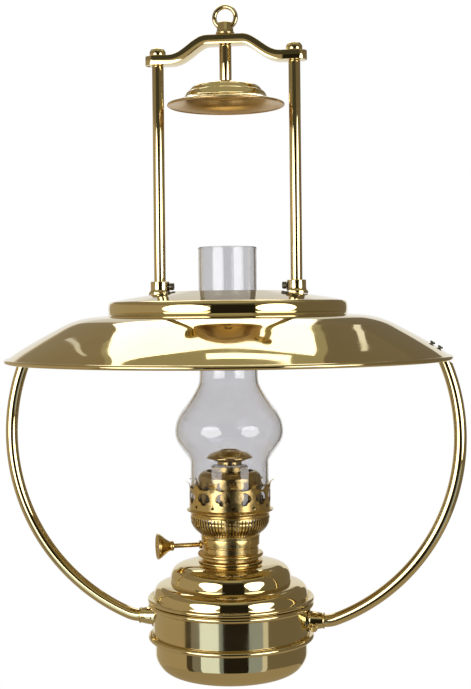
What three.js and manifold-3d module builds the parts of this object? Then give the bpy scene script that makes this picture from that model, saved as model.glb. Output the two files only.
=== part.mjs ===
// A hanging ship lamp for oil: a round-wick burner on a drop-in fount, under a dished brass shade.
// Millimetres, +Z up. The origin is the suspension point, where a hook bears inside the top ring.
// The two bent arms and the yoke lie along X.

import * as THREE from 'three';
import { mergeVertices } from 'three/addons/utils/BufferGeometryUtils.js';
import Module from 'manifold-3d';

const wasm = await Module();
wasm.setup();

// Fits. A seat gap parts two pieces that touch, a slide gap lets one pass along the other.
const seatGap = 0.3;
const slideGap = 0.4;
const cutOverrun = 2;
const sheet = 1.2;
const thinSheet = 0.8;
const threadDiameter = 6;

// Suspension ring and the eye stud that it hangs in.
const ringWire = 3.7;
const ringOuter = 21.2;
const ringSwing = 40;
const studDiameter = 13.4;
const studFoot = 2.5;
const studShoulder = 3.6;
const studDome = 2.2;
const studCollarWidth = 0.9;
const studCollarHeight = 3.1;

// Yoke, rods and the nuts that cap them.
const yokeThickness = 7.5;
const yokeDepth = 15.5;
const yokeRise = 14.7;
const yokePlateau = 28.8;
const yokeEndLength = 10.8;
const yokeEndReach = 10.2;
const rodDiameter = 9.5;
const rodLength = 183;
const capNutDiameter = 13.2;
const capNutSide = 4;
const capNutDome = 3.2;

// Smoke bell under the yoke.
const stemDiameter = 9.8;
const stemLength = 30;
const bellDiameter = 96;
const bellDomeDiameter = 60;
const bellDomeHeight = 7.4;
const bellSkirtDrop = 10;
const bellRoll = 1.1;
const bellNutDiameter = 11;
const bellNutHeight = 4;
const bellClearance = 3.45;

// Shade: an open crown, an upright band and a dished brim with a rolled rim.
const shadeDiameter = 362;
const crownOpening = 92;
const bandDiameter = 192.8;
const crownDrop = 7.9;
const crownShoulder = 3.4;
const bandHeight = 8;
const dishDrop = 33.6;
const shadeRoll = 3.6;

// Sockets that hold the rods on the crown.
const socketDiameter = 15.4;
const socketHeight = 10;
const socketFloor = 2.5;
const socketFootFlare = 1.55;
const crownNutDiameter = 14;
const crownNutHeight = 5;
const setScrewDiameter = 6;
const setScrewHead = 3.6;
const setScrewShank = 3;

// Arms, one circle down from the shade and one short bend into the holder.
const armDiameter = 10;
const armOverhang = 3.4;
const armRadius = 158;
const armFootRadius = 25;
const lugLength = 17;
const lugWidth = 15;
const lugThickness = 2.6;
const lugScrewPitch = 7;
const lugInset = 15;
const lugArmOffset = 6.1;
const lugScrewHead = 4.2;
const lugScrewHeadHeight = 1.4;
const lugScrewShank = 2.6;
const armSocketWall = 0.9;
const armSocketTaper = 1.6;
const armSocketLength = 12;
const armSocketStand = 13;
const armSocketFlange = 1.6;
const armSocketFlangeHeight = 1.2;
const armSocketLip = 0.6;
const armScrewHead = 5.8;
const armScrewHeadHeight = 3.2;
const armScrewShank = 3;
const armScrewAngle = 62;

// Fount, in two shells and a threaded collar, and the ring that it stands in.
const fountDiameter = 122.8;
const fountRimWidth = 6;
const fountRoll = 3.4;
const fountHeight = 58.9;
const fountBend = 16;
const upperDomeDiameter = 97.8;
const upperDomeHeight = 16.5;
const lowerShoulderStep = 1;
const lowerShoulderHeight = 12.5;
const collarDiameter = 45;
const collarDepth = 6;
const collarStand = 4.3;
const collarFlangeWidth = 3.5;
const collarFlangeHeight = 1.4;
const collarWall = 2.1;
const holderHeight = 26;
const holderBead = 4.4;
const armSocketLevel = 14.9;

// Burner, downwards: spreader, wick tubes, gallery, basket, base.
const wickInner = 12;
const wickThickness = 1.8;
const wickRest = 20.8;
const wickGapAngle = 34;
const wickStand = 1.4;
const tubeWall = 0.6;
const flangeThickness = 1;
const wickTubeHeight = 57.6;
const baseNeckHeight = 6;
const baseGroove = 1.2;
const baseHeight = 15.2;
const baseFlangeWidth = 2.7;
const baseFlangeHeight = 3.2;
const baseWall = 1.5;
const baseFloor = 1.4;
const spigotLength = 9;
const basketInset = 0.7;
const basketHeight = 20;
const basketSlots = 36;
const basketSlotWidth = 0.9;
const galleryHeight = 21.6;
const galleryRidgeWidth = 2.3;
const galleryRidgeHeight = 3.4;
const galleryProngs = 12;
const prongFlare = 3;
const prongLength = 4;
const capClearance = 4.1;
const capHeight = 29;
const capOpening = 39;
const spreaderDiameter = 37.2;
const spreaderTopDiameter = 15.8;
const spreaderHeight = 5.5;
const spreaderEdge = 0.9;
const spreaderBelly = 2.8;
const spreaderFlangeWidth = 1.6;
const spreaderNeckHeight = 3.2;
const spreaderSpigot = 12;

// Winder: a shaft beside the wick, with two star wheels that bite it and a trumpet knob.
const winderAngle = 202;
const winderShaftDiameter = 2.8;
const winderInnerEnd = 9;
const winderKnobReach = 56;
const winderBelowTop = 8.7;
const knobDiameter = 21;
const knobLength = 14;
const knobNeck = 8;
const knobRim = 1.5;
const starTeeth = 8;
const starWidth = 2.2;
const starDiameter = 6.2;
const starPitch = 8;
const starClearance = 1;
const starToothDepth = 0.8;
const bushDiameter = 7;
const bushLength = 5.6;

// Chimney: the fitter stands in the gallery, with a bulge above it and a straight tube.
const fitterDiameter = 63.2;
const chimneyDiameter = 47.4;
const bulgeDiameter = 87.8;
const chimneyWall = 2;
const fitterHeight = 36;
const bulgeHeight = 66;
const chimneyHeight = 210;

// Where a screw stands along its socket, and the outline of the shade's dish, as shares.
const socketScrewShare = 0.58;
const armScrewShare = 0.66;
const dishShares = [[0.06, 0.004], [0.24, 0.052], [0.42, 0.2], [0.6, 0.43], [0.8, 0.73], [1, 1]];

// Levels and reaches of the frame, all from the sizes above.
const hingeZ = ringWire * 1.5 - ringOuter;
const studCollarTopZ = hingeZ - studFoot;
const studCollarDiameter = studDiameter + 2 * studCollarWidth;
const yokeTopZ = studCollarTopZ - studCollarHeight - seatGap;
const yokeEndTopZ = yokeTopZ - yokeRise;
const yokeEndBottomZ = yokeEndTopZ - yokeThickness;
const stemTopZ = yokeTopZ - yokeThickness - seatGap;
const bellTopZ = stemTopZ - stemLength - seatGap;
const rodReach = bellDiameter / 2 + bellClearance + rodDiameter / 2;
const yokeCurveRun = rodReach - yokePlateau / 2 - yokeEndLength;
const rodTopZ = yokeEndBottomZ - seatGap;
const rodShoulderZ = rodTopZ - rodLength;
const crownSeatZ = rodShoulderZ - seatGap - socketFloor - seatGap;
const crownSlope = crownDrop / (bandDiameter / 2 - crownOpening / 2);
const crownEdgeZ = crownSeatZ + crownSlope * (rodReach - crownOpening / 2);
const bandTopZ = crownEdgeZ - crownDrop - crownShoulder;
const bandBottomZ = bandTopZ - bandHeight;
const socketFootDiameter = socketDiameter + 2 * socketFootFlare;
const socketScrewZ = crownSeatZ + socketHeight * socketScrewShare;

// The arms hang from the shade, and the holder from the arms.
const lugReach = shadeDiameter / 2 - lugInset;
const lugSeat = shadeAt(lugReach);
const lugTilt = Math.atan(lugSeat.fall);
const armReach = shadeDiameter / 2 + armOverhang;
const armCentreX = armReach - armRadius;
const armTopAngle = Math.acos((lugReach + lugArmOffset - armCentreX) / armRadius);
const lugUnderside = sheet + 3 * seatGap + lugThickness;
const armTopZ = lugSeat.z + lugSeat.fall * lugArmOffset - lugUnderside / Math.cos(lugTilt);
const armCentreZ = armTopZ - armRadius * Math.sin(armTopAngle);
const holderRadius = fountDiameter / 2 + 2 * slideGap + thinSheet;
const armSocketDiameter = armDiameter + 2 * armSocketWall;
const armSocketRootDiameter = armSocketDiameter + 2 * armSocketTaper;
const armSocketFootDiameter = armSocketRootDiameter + 2 * armSocketFlange;
const armFootReach = holderRadius + armSocketStand;
const armFootInset = armRadius - armFootRadius;
const armFootTurn = Math.asin((armFootReach - armCentreX) / armFootInset);
const armFootCentreZ = armCentreZ - armFootInset * Math.cos(armFootTurn);
const armFootZ = armFootCentreZ - armFootRadius;
const armScrewReach = armFootReach - armSocketLength * armScrewShare;

// The fount stands in the holder, and the burner on the fount.
const holderTopZ = armFootZ + armSocketLevel;
const holderBottomZ = holderTopZ - holderBead - holderHeight;
const fountRimZ = holderTopZ + seatGap + fountRoll / 2;
const fountBottomZ = fountRimZ - fountHeight;
const fountShellTopZ = fountRimZ - fountRoll / 2 - seatGap;
const fountRimDiameter = fountDiameter + 2 * fountRimWidth;
const lowerShoulderDiameter = fountDiameter + 2 * lowerShoulderStep;
const coverTopZ = fountRimZ + thinSheet / 2 + lowerShoulderHeight + upperDomeHeight;
const collarFlangeDiameter = collarDiameter + 2 * collarFlangeWidth;
const collarTopZ = coverTopZ + collarStand;
const baseFlangeZ = collarTopZ + seatGap;
const baseFloorZ = baseFlangeZ + baseFloor / 2;
const baseTopZ = baseFlangeZ + baseHeight;
const spigotRadius = collarDiameter / 2 - collarWall - seatGap;
const wickOuter = wickInner + wickThickness;
const draftOuter = wickInner - seatGap;
const wickTubeInner = wickOuter + seatGap;
const winderOffset = wickOuter + seatGap + starDiameter / 2;
const winderZ = baseTopZ - winderBelowTop;
const baseWaist = winderOffset + starDiameter / 2 + starClearance + baseWall;
const baseNeckDiameter = 2 * (baseWaist + thinSheet);
const baseInner = baseWaist - baseWall;
const baseFlangeDiameter = baseNeckDiameter + 2 * baseFlangeWidth;
const galleryDiameter = fitterDiameter + 2 * (slideGap + thinSheet);
const galleryRidgeDiameter = galleryDiameter + 2 * galleryRidgeWidth;
const basketDiameter = galleryDiameter - 2 * basketInset;
const basketTopZ = baseTopZ + seatGap + basketHeight;
const galleryFloorZ = basketTopZ + seatGap + galleryRidgeHeight;
const capDiameter = fitterDiameter - 2 * (chimneyWall + capClearance);
const chimneyFootZ = galleryFloorZ + seatGap;
const spreaderNeckDiameter = 2 * (draftOuter - seatGap - spreaderFlangeWidth);
const wickTubeTopZ = baseTopZ + wickTubeHeight;
const wickTailLength = baseFloorZ - fountBottomZ - thinSheet - wickRest;
const wickSeamAngle = 20;

// Materials.
const finish = (name, color, roughness, metalness) =>
  new THREE.MeshStandardMaterial({ name, color, roughness, metalness });
const polishedBrass = () => finish('polished_brass', 0xcdb878, 0.12, 1);
const burnerBrass = () => finish('burner_brass', 0xc9a24a, 0.22, 1);
const satinBrass = () => finish('satin_brass', 0xb9874a, 0.4, 1);
const steel = () => finish('dark_steel', 0x3a3631, 0.4, 1);
const glass = () => {
  const clear = finish('clear_glass', 0xe6e8ec, 0.05, 0);
  clear.transparent = true;
  clear.opacity = 0.3;
  return clear;
};
const cotton = () => finish('cotton', 0xe9e2d2, 0.95, 0);

const lamp = new THREE.Group();
lamp.name = 'ship_lamp';

// How many facets go round a turned piece, by its size.
const wideSides = 28;
const middleSides = 20;
const smallSides = 12;
const rollSides = 4;

// Merges shared corners, drops collapsed triangles and turns an inside-out body the right way.
function tidied(geometry) {
  geometry.deleteAttribute('normal');
  geometry.deleteAttribute('uv');
  const merged = mergeVertices(geometry);
  const index = merged.index.array;
  const position = merged.attributes.position;
  const corner = [new THREE.Vector3(), new THREE.Vector3(), new THREE.Vector3()];
  const kept = [];
  let volume = 0;
  for (let i = 0; i < index.length; i += 3) {
    const [a, b, c] = [index[i], index[i + 1], index[i + 2]];
    if (a === b || b === c || c === a) {
      continue;
    }
    kept.push(a, b, c);
    [a, b, c].forEach((at, side) => corner[side].fromBufferAttribute(position, at));
    volume += corner[0].dot(corner[1].cross(corner[2]));
  }
  if (volume < 0) {
    kept.reverse();
  }
  merged.setIndex(kept);
  return merged;
}

// The solid that a closed geometry bounds, ready to be joined or cut.
function solid(geometry) {
  const clean = tidied(geometry);
  const vertProperties = new Float32Array(clean.attributes.position.array);
  const triVerts = new Uint32Array(clean.index.array);
  return new wasm.Manifold(new wasm.Mesh({ numProp: 3, vertProperties, triVerts }));
}

function geometryOf(body) {
  const mesh = body.getMesh();
  const geometry = new THREE.BufferGeometry();
  geometry.setAttribute('position', new THREE.BufferAttribute(mesh.vertProperties, 3));
  geometry.setIndex(new THREE.BufferAttribute(mesh.triVerts, 1));
  return geometry;
}

// Adds one named piece, from a geometry or a solid.
function piece(name, shape, material, parent = lamp) {
  const geometry = shape.isBufferGeometry ? tidied(shape) : geometryOf(shape);
  const mesh = new THREE.Mesh(geometry, material);
  mesh.name = name;
  parent.add(mesh);
  return mesh;
}

// A turned form: the profile is a list of [radius, height] pairs, on the axis at both ends or closed.
function turned(profile, facets = middleSides) {
  const points = profile.map(([radius, height]) => new THREE.Vector2(radius, height));
  return new THREE.LatheGeometry(points, facets).rotateX(Math.PI / 2);
}

// A solid pin, bar or disc on the axis between two heights.
function rod(diameter, bottom, top, facets = smallSides) {
  return turned([[0, bottom], [diameter / 2, bottom], [diameter / 2, top], [0, top]], facets);
}

// A turned tube between two heights.
function tube(outer, inner, bottom, top, facets = middleSides) {
  return turned([[inner, bottom], [outer, bottom], [outer, top], [inner, top], [inner, bottom]], facets);
}

// A hexagon nut with a round bore.
function hexNut(across, bore, bottom, top) {
  const hole = rod(bore, bottom - cutOverrun, top + cutOverrun);
  return solid(rod(across, bottom, top, 6)).subtract(solid(hole));
}

function block(width, depth, height, x = 0, y = 0, z = 0) {
  return new THREE.BoxGeometry(width, depth, height).translate(x, y, z);
}

// Points on an arc of a circle, from one angle to another in degrees.
function arc(centreX, centreY, radius, from, to, steps) {
  const points = [];
  for (let i = 0; i <= steps; i += 1) {
    const angle = THREE.MathUtils.degToRad(from + ((to - from) * i) / steps);
    points.push([centreX + radius * Math.cos(angle), centreY + radius * Math.sin(angle)]);
  }
  return points;
}

// Closes an open outline into a sheet: the wall lies to the right of the outline's direction.
function sheetOf(outline, wall) {
  const inner = outline.map(([x, y], i) => {
    const [fromX, fromY] = outline[Math.max(i - 1, 0)];
    const [toX, toY] = outline[Math.min(i + 1, outline.length - 1)];
    const run = Math.hypot(toX - fromX, toY - fromY);
    return [x + ((toY - fromY) / run) * wall, y - ((toX - fromX) / run) * wall];
  });
  return [...outline, ...inner.reverse(), outline[0]];
}

// A sheet whose outline ends in a rolled edge, of the given radius.
function rolledSheet(outline, wall, rollRadius) {
  const [endX, endY] = outline[outline.length - 1];
  const [beforeX, beforeY] = outline[outline.length - 2];
  const heading = Math.atan2(endY - beforeY, endX - beforeX);
  const reach = Math.sqrt(rollRadius * rollRadius - (wall * wall) / 4);
  const centreX = endX + reach * Math.cos(heading) + (wall / 2) * Math.sin(heading);
  const centreY = endY + reach * Math.sin(heading) - (wall / 2) * Math.cos(heading);
  const opening = 180 - THREE.MathUtils.radToDeg(Math.asin(wall / 2 / rollRadius));
  const along = THREE.MathUtils.radToDeg(heading);
  const roll = arc(centreX, centreY, rollRadius, along + opening, along - opening, rollSides);
  const closed = sheetOf(outline, wall);
  return [...closed.slice(0, outline.length), ...roll.slice(1, -1), ...closed.slice(outline.length)];
}

// Lays a form that was made along Z on its side, pointing along X.
const alongX = (geometry) => geometry.rotateY(Math.PI / 2);

// Turns a form about the lamp's axis, by degrees.
const turnedBy = (geometry, degrees) => geometry.rotateZ(THREE.MathUtils.degToRad(degrees));

const sides = [['left', -1], ['right', 1]];

// The ring lies in the XZ plane and swings about the wire's lowest point.
function suspensionRing() {
  const ring = new THREE.TorusGeometry(ringOuter / 2 - ringWire / 2, ringWire / 2, smallSides / 2 + 1, middleSides);
  return ring.rotateX(Math.PI / 2).translate(0, 0, ringWire - ringOuter / 2);
}

// The eye's hole clears the bent wire at every angle that the ring swings to.
function ringPassage() {
  const bend = ringOuter / 2 - ringWire / 2;
  const clear = ringWire / 2 + slideGap;
  const swings = 5;
  const bendFacets = 16;
  const wireFacets = 6;
  const paths = [];
  for (let i = 0; i < swings; i += 1) {
    const angle = THREE.MathUtils.degToRad(ringSwing * ((2 * i) / (swings - 1) - 1));
    const path = new THREE.TorusGeometry(bend, clear / Math.cos(Math.PI / wireFacets), wireFacets, bendFacets);
    paths.push(solid(path.rotateX(Math.PI / 2).translate(0, 0, bend).rotateX(angle)));
  }
  return wasm.Manifold.union(paths).translate([0, 0, hingeZ]);
}

function ringStud() {
  const shoulderZ = hingeZ + studShoulder;
  const shankZ = stemTopZ - threadDiameter;
  const collarZ = studCollarTopZ - studCollarHeight;
  const bead = studCollarHeight / 4;
  const radius = studDiameter / 2;
  const domeShares = [[0.84, 0.55], [0.5, 0.9], [0, 1]];
  const body = turned([
    [0, shankZ],
    [threadDiameter / 2, shankZ],
    [threadDiameter / 2, collarZ],
    [studCollarDiameter / 2 - bead, collarZ],
    [studCollarDiameter / 2, collarZ + bead],
    [studCollarDiameter / 2, studCollarTopZ - bead],
    [studCollarDiameter / 2 - bead, studCollarTopZ],
    [radius, studCollarTopZ],
    [radius, shoulderZ],
    ...domeShares.map(([out, up]) => [radius * out, shoulderZ + studDome * up]),
  ], smallSides + 4);
  return solid(body).subtract(ringPassage());
}

// The yoke's side view, swept across its depth and trimmed to a bar with round ends.
function yoke() {
  const half = rodReach + yokeEndReach + cutOverrun;
  const flat = yokePlateau / 2;
  const steps = 8;
  const endCentre = rodReach + yokeEndReach - yokeDepth / 2;
  const middle = [[-half, 0]];
  const rise = (share) => yokeRise * (0.5 + 0.5 * Math.cos(Math.PI * share));
  for (let i = steps; i >= 0; i -= 1) {
    middle.push([-flat - (yokeCurveRun * i) / steps, rise(i / steps)]);
  }
  for (let i = 0; i <= steps; i += 1) {
    middle.push([flat + (yokeCurveRun * i) / steps, rise(i / steps)]);
  }
  middle.push([half, 0]);
  const outline = sheetOf(middle, yokeThickness);
  const view = new THREE.Shape(outline.map(([x, y]) => new THREE.Vector2(x, y)));
  const bar = new THREE.ExtrudeGeometry(view, { depth: 2 * yokeDepth, bevelEnabled: false });
  bar.rotateX(Math.PI / 2).translate(0, yokeDepth, yokeEndTopZ);
  const plan = new THREE.Shape();
  plan.absarc(endCentre, 0, yokeDepth / 2, -Math.PI / 2, Math.PI / 2);
  plan.absarc(-endCentre, 0, yokeDepth / 2, Math.PI / 2, Math.PI * 1.5);
  const height = yokeRise + 2 * yokeThickness;
  const trim = new THREE.ExtrudeGeometry(plan, { depth: 2 * height, bevelEnabled: false, curveSegments: 6 });
  trim.translate(0, 0, yokeEndBottomZ - height / 2);
  let body = solid(bar).intersect(solid(trim));
  const hole = threadDiameter + 2 * slideGap;
  for (const x of [-rodReach, 0, rodReach]) {
    body = body.subtract(solid(rod(hole, yokeEndBottomZ - cutOverrun, yokeTopZ + cutOverrun).translate(x, 0, 0)));
  }
  return body;
}

function capNut() {
  const radius = capNutDiameter / 2;
  const bottom = yokeEndTopZ + seatGap;
  const top = bottom + capNutSide;
  const bore = threadDiameter / 2 + seatGap;
  const boreTop = top + seatGap;
  const domeShares = [[0.86, 0.52], [0.5, 0.88], [0, 1]];
  return turned([
    [0, boreTop],
    [bore, boreTop],
    [bore, bottom],
    [radius, bottom],
    [radius, top],
    ...domeShares.map(([out, up]) => [radius * out, top + capNutDome * up]),
  ], smallSides);
}

// A rod has its full diameter between the yoke and the socket, and a threaded end at either side.
function frameRod() {
  const screwTop = yokeEndTopZ + capNutSide;
  const screwBottom = crownSeatZ - sheet - crownNutHeight - 2 * seatGap - crownSlope * crownNutDiameter;
  return turned([
    [0, screwBottom],
    [threadDiameter / 2, screwBottom],
    [threadDiameter / 2, rodShoulderZ],
    [rodDiameter / 2, rodShoulderZ],
    [rodDiameter / 2, rodTopZ],
    [threadDiameter / 2, rodTopZ],
    [threadDiameter / 2, screwTop],
    [0, screwTop],
  ], smallSides);
}

// All that lies under the crown's top face, or above its lower face, moved off by the seat gap.
function crownCone(offset, far) {
  const atAxis = crownEdgeZ + (crownSlope * crownOpening) / 2 + offset;
  const reach = bandDiameter / 2;
  const low = atAxis - crownSlope * reach;
  return solid(turned([[0, atAxis], [reach, low], [reach, far], [0, far]], wideSides));
}

function rodSocket(side) {
  const radius = socketDiameter / 2;
  const foot = socketFootDiameter / 2;
  const slant = crownSlope * foot;
  const bottom = crownSeatZ - slant;
  const top = crownSeatZ + socketHeight;
  const bore = rodDiameter / 2 + seatGap;
  const floor = rodShoulderZ - seatGap;
  const hole = threadDiameter / 2 + seatGap;
  const flareShare = 1.6;
  const flare = (foot - radius) * flareShare;
  const turning = turned([
    [hole, bottom],
    [foot, bottom],
    [foot, crownSeatZ + seatGap + slant / 2],
    [radius, crownSeatZ + slant + flare],
    [radius, top],
    [bore, top],
    [bore, floor],
    [hole, floor],
    [hole, bottom],
  ], smallSides + 2).translate(side * rodReach, 0, 0);
  const screwHole = alongX(rod(setScrewShank + 2 * seatGap, 0, socketDiameter, 8));
  screwHole.translate(side > 0 ? rodReach - socketDiameter : -rodReach, 0, socketScrewZ);
  return solid(turning)
    .subtract(crownCone(seatGap, bottom - cutOverrun))
    .subtract(solid(screwHole));
}

// The set screw comes in from the side that faces the glass.
function socketScrew(side) {
  const tip = rodDiameter / 2 + seatGap;
  const face = socketDiameter / 2 + seatGap;
  const end = face + setScrewHead;
  const edge = setScrewHead / 5;
  const screw = turned([
    [0, tip],
    [setScrewShank / 2, tip],
    [setScrewShank / 2, face],
    [setScrewDiameter / 2, face],
    [setScrewDiameter / 2, end - edge],
    [setScrewDiameter / 2 - edge, end],
    [0, end],
  ], smallSides);
  return screw.rotateY((-side * Math.PI) / 2).translate(side * rodReach, 0, socketScrewZ);
}

function crownNut(side) {
  const slant = crownSlope * crownNutDiameter;
  const top = crownSeatZ - sheet + slant;
  const bottom = crownSeatZ - sheet - seatGap - slant / 2 - crownNutHeight;
  const nut = hexNut(crownNutDiameter, threadDiameter + 2 * seatGap, bottom, top);
  return nut.translate([side * rodReach, 0, 0]).subtract(crownCone(-sheet - seatGap, top + cutOverrun + slant));
}

function bellStem() {
  const bottom = stemTopZ - stemLength;
  const bore = threadDiameter / 2 + seatGap;
  const boreEnd = stemTopZ - threadDiameter - seatGap;
  const screw = bottom - seatGap * 2 - sheet - bellNutHeight;
  return turned([
    [0, screw],
    [threadDiameter / 2, screw],
    [threadDiameter / 2, bottom],
    [stemDiameter / 2, bottom],
    [stemDiameter / 2, stemTopZ],
    [bore, stemTopZ],
    [bore, boreEnd],
    [0, boreEnd],
  ], smallSides);
}

// The bell is spun sheet: a shallow dome, a step, and a skirt that flares to a rolled rim.
function smokeBell() {
  const dome = bellDomeDiameter / 2;
  const rim = bellDiameter / 2 - 2 * bellRoll;
  const stepZ = bellTopZ - bellDomeHeight;
  const skirt = rim - dome;
  const hole = threadDiameter / 2 + slideGap;
  const domeShares = [[0.5, 0.05], [0.85, 0.36], [1, 1]];
  const skirtShares = [[0.1, 0.06], [0.18, 0.34], [0.5, 0.78], [1, 1]];
  const outline = [
    [hole, bellTopZ],
    ...domeShares.map(([out, down]) => [dome * out, bellTopZ - bellDomeHeight * down]),
    ...skirtShares.map(([out, down]) => [dome + skirt * out, stepZ - bellSkirtDrop * down]),
  ];
  return turned(rolledSheet(outline, sheet, bellRoll), middleSides);
}

function bellNut() {
  const top = bellTopZ - sheet - seatGap;
  const bottom = top - bellNutHeight;
  return hexNut(bellNutDiameter, threadDiameter + 2 * seatGap, bottom, top);
}

// The shade's outer face from the crown's opening out to the rim.
function shadeOutline() {
  const rim = shadeDiameter / 2 - shadeRoll;
  const band = bandDiameter / 2;
  const dish = rim - band;
  const flatShare = 1 - crownShoulder / (band - crownOpening / 2);
  return [
    [crownOpening / 2, crownEdgeZ],
    [band - crownShoulder, crownEdgeZ - crownDrop * flatShare],
    ...arc(band - crownShoulder, bandTopZ, crownShoulder, 60, 0, 2),
    [band, bandBottomZ],
    ...dishShares.map(([out, down]) => [band + dish * out, bandBottomZ - dishDrop * down]),
  ];
}

// The slope of the shade at a reach from the axis: its height and its fall per millimetre.
function shadeAt(reach) {
  const outline = shadeOutline();
  const next = outline.findIndex(([radius]) => radius > reach);
  const [innerRadius, innerZ] = outline[next - 1];
  const [outerRadius, outerZ] = outline[next];
  const fall = (outerZ - innerZ) / (outerRadius - innerRadius);
  return { z: innerZ + fall * (reach - innerRadius), fall };
}

function shade() {
  const outline = shadeOutline();
  let body = solid(turned(rolledSheet(outline, sheet, shadeRoll / 2), wideSides));
  for (const [, side] of sides) {
    const hole = rod(threadDiameter + 2 * slideGap, crownSeatZ - sheet * 4, crownSeatZ + sheet * 3, 10);
    body = body.subtract(solid(hole.translate(side * rodReach, 0, 0)));
    for (const step of [-1, 1]) {
      const screwHole = rod(lugScrewShank + 2 * seatGap, -sheet * 3, sheet * 3, 8);
      body = body.subtract(solid(atShade(screwHole, side, step)));
    }
  }
  return body;
}

// Stands a form, made along Z, on the shade's outer face: at a lug screw, or between the two.
function atShade(geometry, side, step) {
  geometry.translate((step * lugScrewPitch) / 2, 0, 0);
  geometry.rotateY(-lugTilt).translate(lugReach, 0, lugSeat.z);
  return side < 0 ? geometry.rotateZ(Math.PI) : geometry;
}

// The lug is a small plate under the slope of the shade, brazed to the arm's upper end.
function armLug(side) {
  const plateTop = -sheet - seatGap * 2;
  const plate = block(lugLength, lugWidth, lugThickness, 0, 0, plateTop - lugThickness / 2);
  let body = solid(atShade(plate, side, 0));
  for (const step of [-1, 1]) {
    const hole = rod(lugScrewShank + 2 * seatGap, plateTop - 2 * lugThickness, plateTop + lugThickness, 8);
    body = body.subtract(solid(atShade(hole, side, step)));
  }
  return body;
}

function lugScrew(side, step) {
  const radius = lugScrewHead / 2;
  const shank = lugScrewShank / 2;
  const bottom = seatGap * 2;
  const tip = -sheet - seatGap * 3 - lugThickness;
  const headShares = [[0.88, 0.6], [0.5, 1], [0, 1]];
  const screw = turned([
    [0, tip],
    [shank, tip],
    [shank, bottom],
    [radius, bottom],
    ...headShares.map(([out, up]) => [radius * out, bottom + lugScrewHeadHeight * up]),
  ], 10);
  return atShade(screw, side, step);
}

// The arm's centre line in the XZ plane, from the holder out and up to just past the lug's face.
function armLine() {
  const turn = THREE.MathUtils.radToDeg(armFootTurn);
  const top = THREE.MathUtils.radToDeg(armTopAngle + armDiameter / armRadius);
  const start = armFootReach - armSocketLength + slideGap;
  return [
    [start, armFootZ],
    ...arc(armFootReach, armFootCentreZ, armFootRadius, -90, turn - 90, 3),
    ...arc(armCentreX, armCentreZ, armRadius, turn - 90, top, 19).slice(1),
  ];
}

// The upper end is cut to the lug's lower face.
function arm(side) {
  const points = armLine().map(([x, z]) => new THREE.Vector3(x, 0, z));
  const curve = new THREE.CatmullRomCurve3(points, false, 'centripetal');
  const section = new THREE.Shape();
  section.absarc(0, 0, armDiameter / 2, 0, 2 * Math.PI);
  const sweep = { steps: 24, curveSegments: 4, bevelEnabled: false, extrudePath: curve };
  const body = new THREE.ExtrudeGeometry(section, sweep);
  const cutDepth = armDiameter * 4;
  const above = block(cutDepth * 2, cutDepth, cutDepth, 0, 0, cutDepth / 2 - lugUnderside);
  const trimmed = solid(body).subtract(solid(atShade(above, 1, 0)));
  return side < 0 ? trimmed.rotate([0, 0, 180]) : trimmed;
}

// A socket is brazed to the band: a flange, a cone, and a lip where the arm goes in.
function armSocket(side) {
  const end = armFootReach;
  const tip = armSocketDiameter / 2;
  const root = armSocketRootDiameter / 2;
  const foot = armSocketFootDiameter / 2;
  const bore = armDiameter / 2 + seatGap;
  const band = holderRadius + seatGap;
  const floor = end - armSocketLength;
  const turning = turned([
    [0, fountDiameter / 2],
    [foot, fountDiameter / 2],
    [foot, band + armSocketFlangeHeight],
    [root, band + armSocketFlangeHeight],
    [tip, end - 2 * armSocketLip],
    [tip + armSocketLip, end - armSocketLip],
    [tip + armSocketLip, end],
    [bore, end],
    [bore, floor],
    [0, floor],
  ], smallSides + 2);
  const cone = solid(alongX(turning).translate(0, 0, armFootZ));
  const ring = solid(rod(2 * band, armFootZ - armSocketFootDiameter, armFootZ + armSocketFootDiameter, wideSides));
  const screwHole = onArmScrew(rod(armScrewShank + 2 * seatGap, 0, armSocketFootDiameter));
  const body = cone.subtract(ring).subtract(solid(screwHole));
  return side < 0 ? body.rotate([0, 0, 180]) : body;
}

// Lays a form, made along Z from the arm's centre line, on the clamp screw of the right socket.
function onArmScrew(geometry) {
  geometry.rotateX(Math.PI - THREE.MathUtils.degToRad(armScrewAngle));
  return geometry.translate(armScrewReach, 0, armFootZ);
}

// The clamp screw has a round head, and comes in from the front on one side and the back on the other.
function armScrew(side) {
  const radius = armScrewHead / 2;
  const shank = armScrewShank / 2;
  const seat = armSocketRootDiameter / 2 + seatGap;
  const end = seat + armScrewHeadHeight;
  const edge = armScrewHeadHeight / 4;
  const body = onArmScrew(turned([
    [0, armDiameter / 2 + seatGap],
    [shank, armDiameter / 2 + seatGap],
    [shank, seat],
    [radius, seat],
    [radius, end - edge],
    [radius - edge, end],
    [0, end],
  ], smallSides));
  return side < 0 ? body.rotateZ(Math.PI) : body;
}

// The band that holds the fount, with a rolled bead at its top and bottom edge.
function fountHolder() {
  const inner = holderRadius - thinSheet;
  const bead = holderBead / 2;
  const outShare = 0.818;
  const beadCentre = holderRadius + bead * outShare;
  const neck = THREE.MathUtils.radToDeg(Math.acos(-outShare));
  return turned([
    [inner, holderBottomZ],
    [beadCentre, holderBottomZ],
    ...arc(beadCentre, holderBottomZ + bead, bead, -60, neck, rollSides - 1),
    ...arc(beadCentre, holderTopZ - bead, bead, -neck, 60, rollSides - 1),
    [beadCentre, holderTopZ],
    [inner, holderTopZ],
    [inner, holderBottomZ],
  ], wideSides);
}

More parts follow.
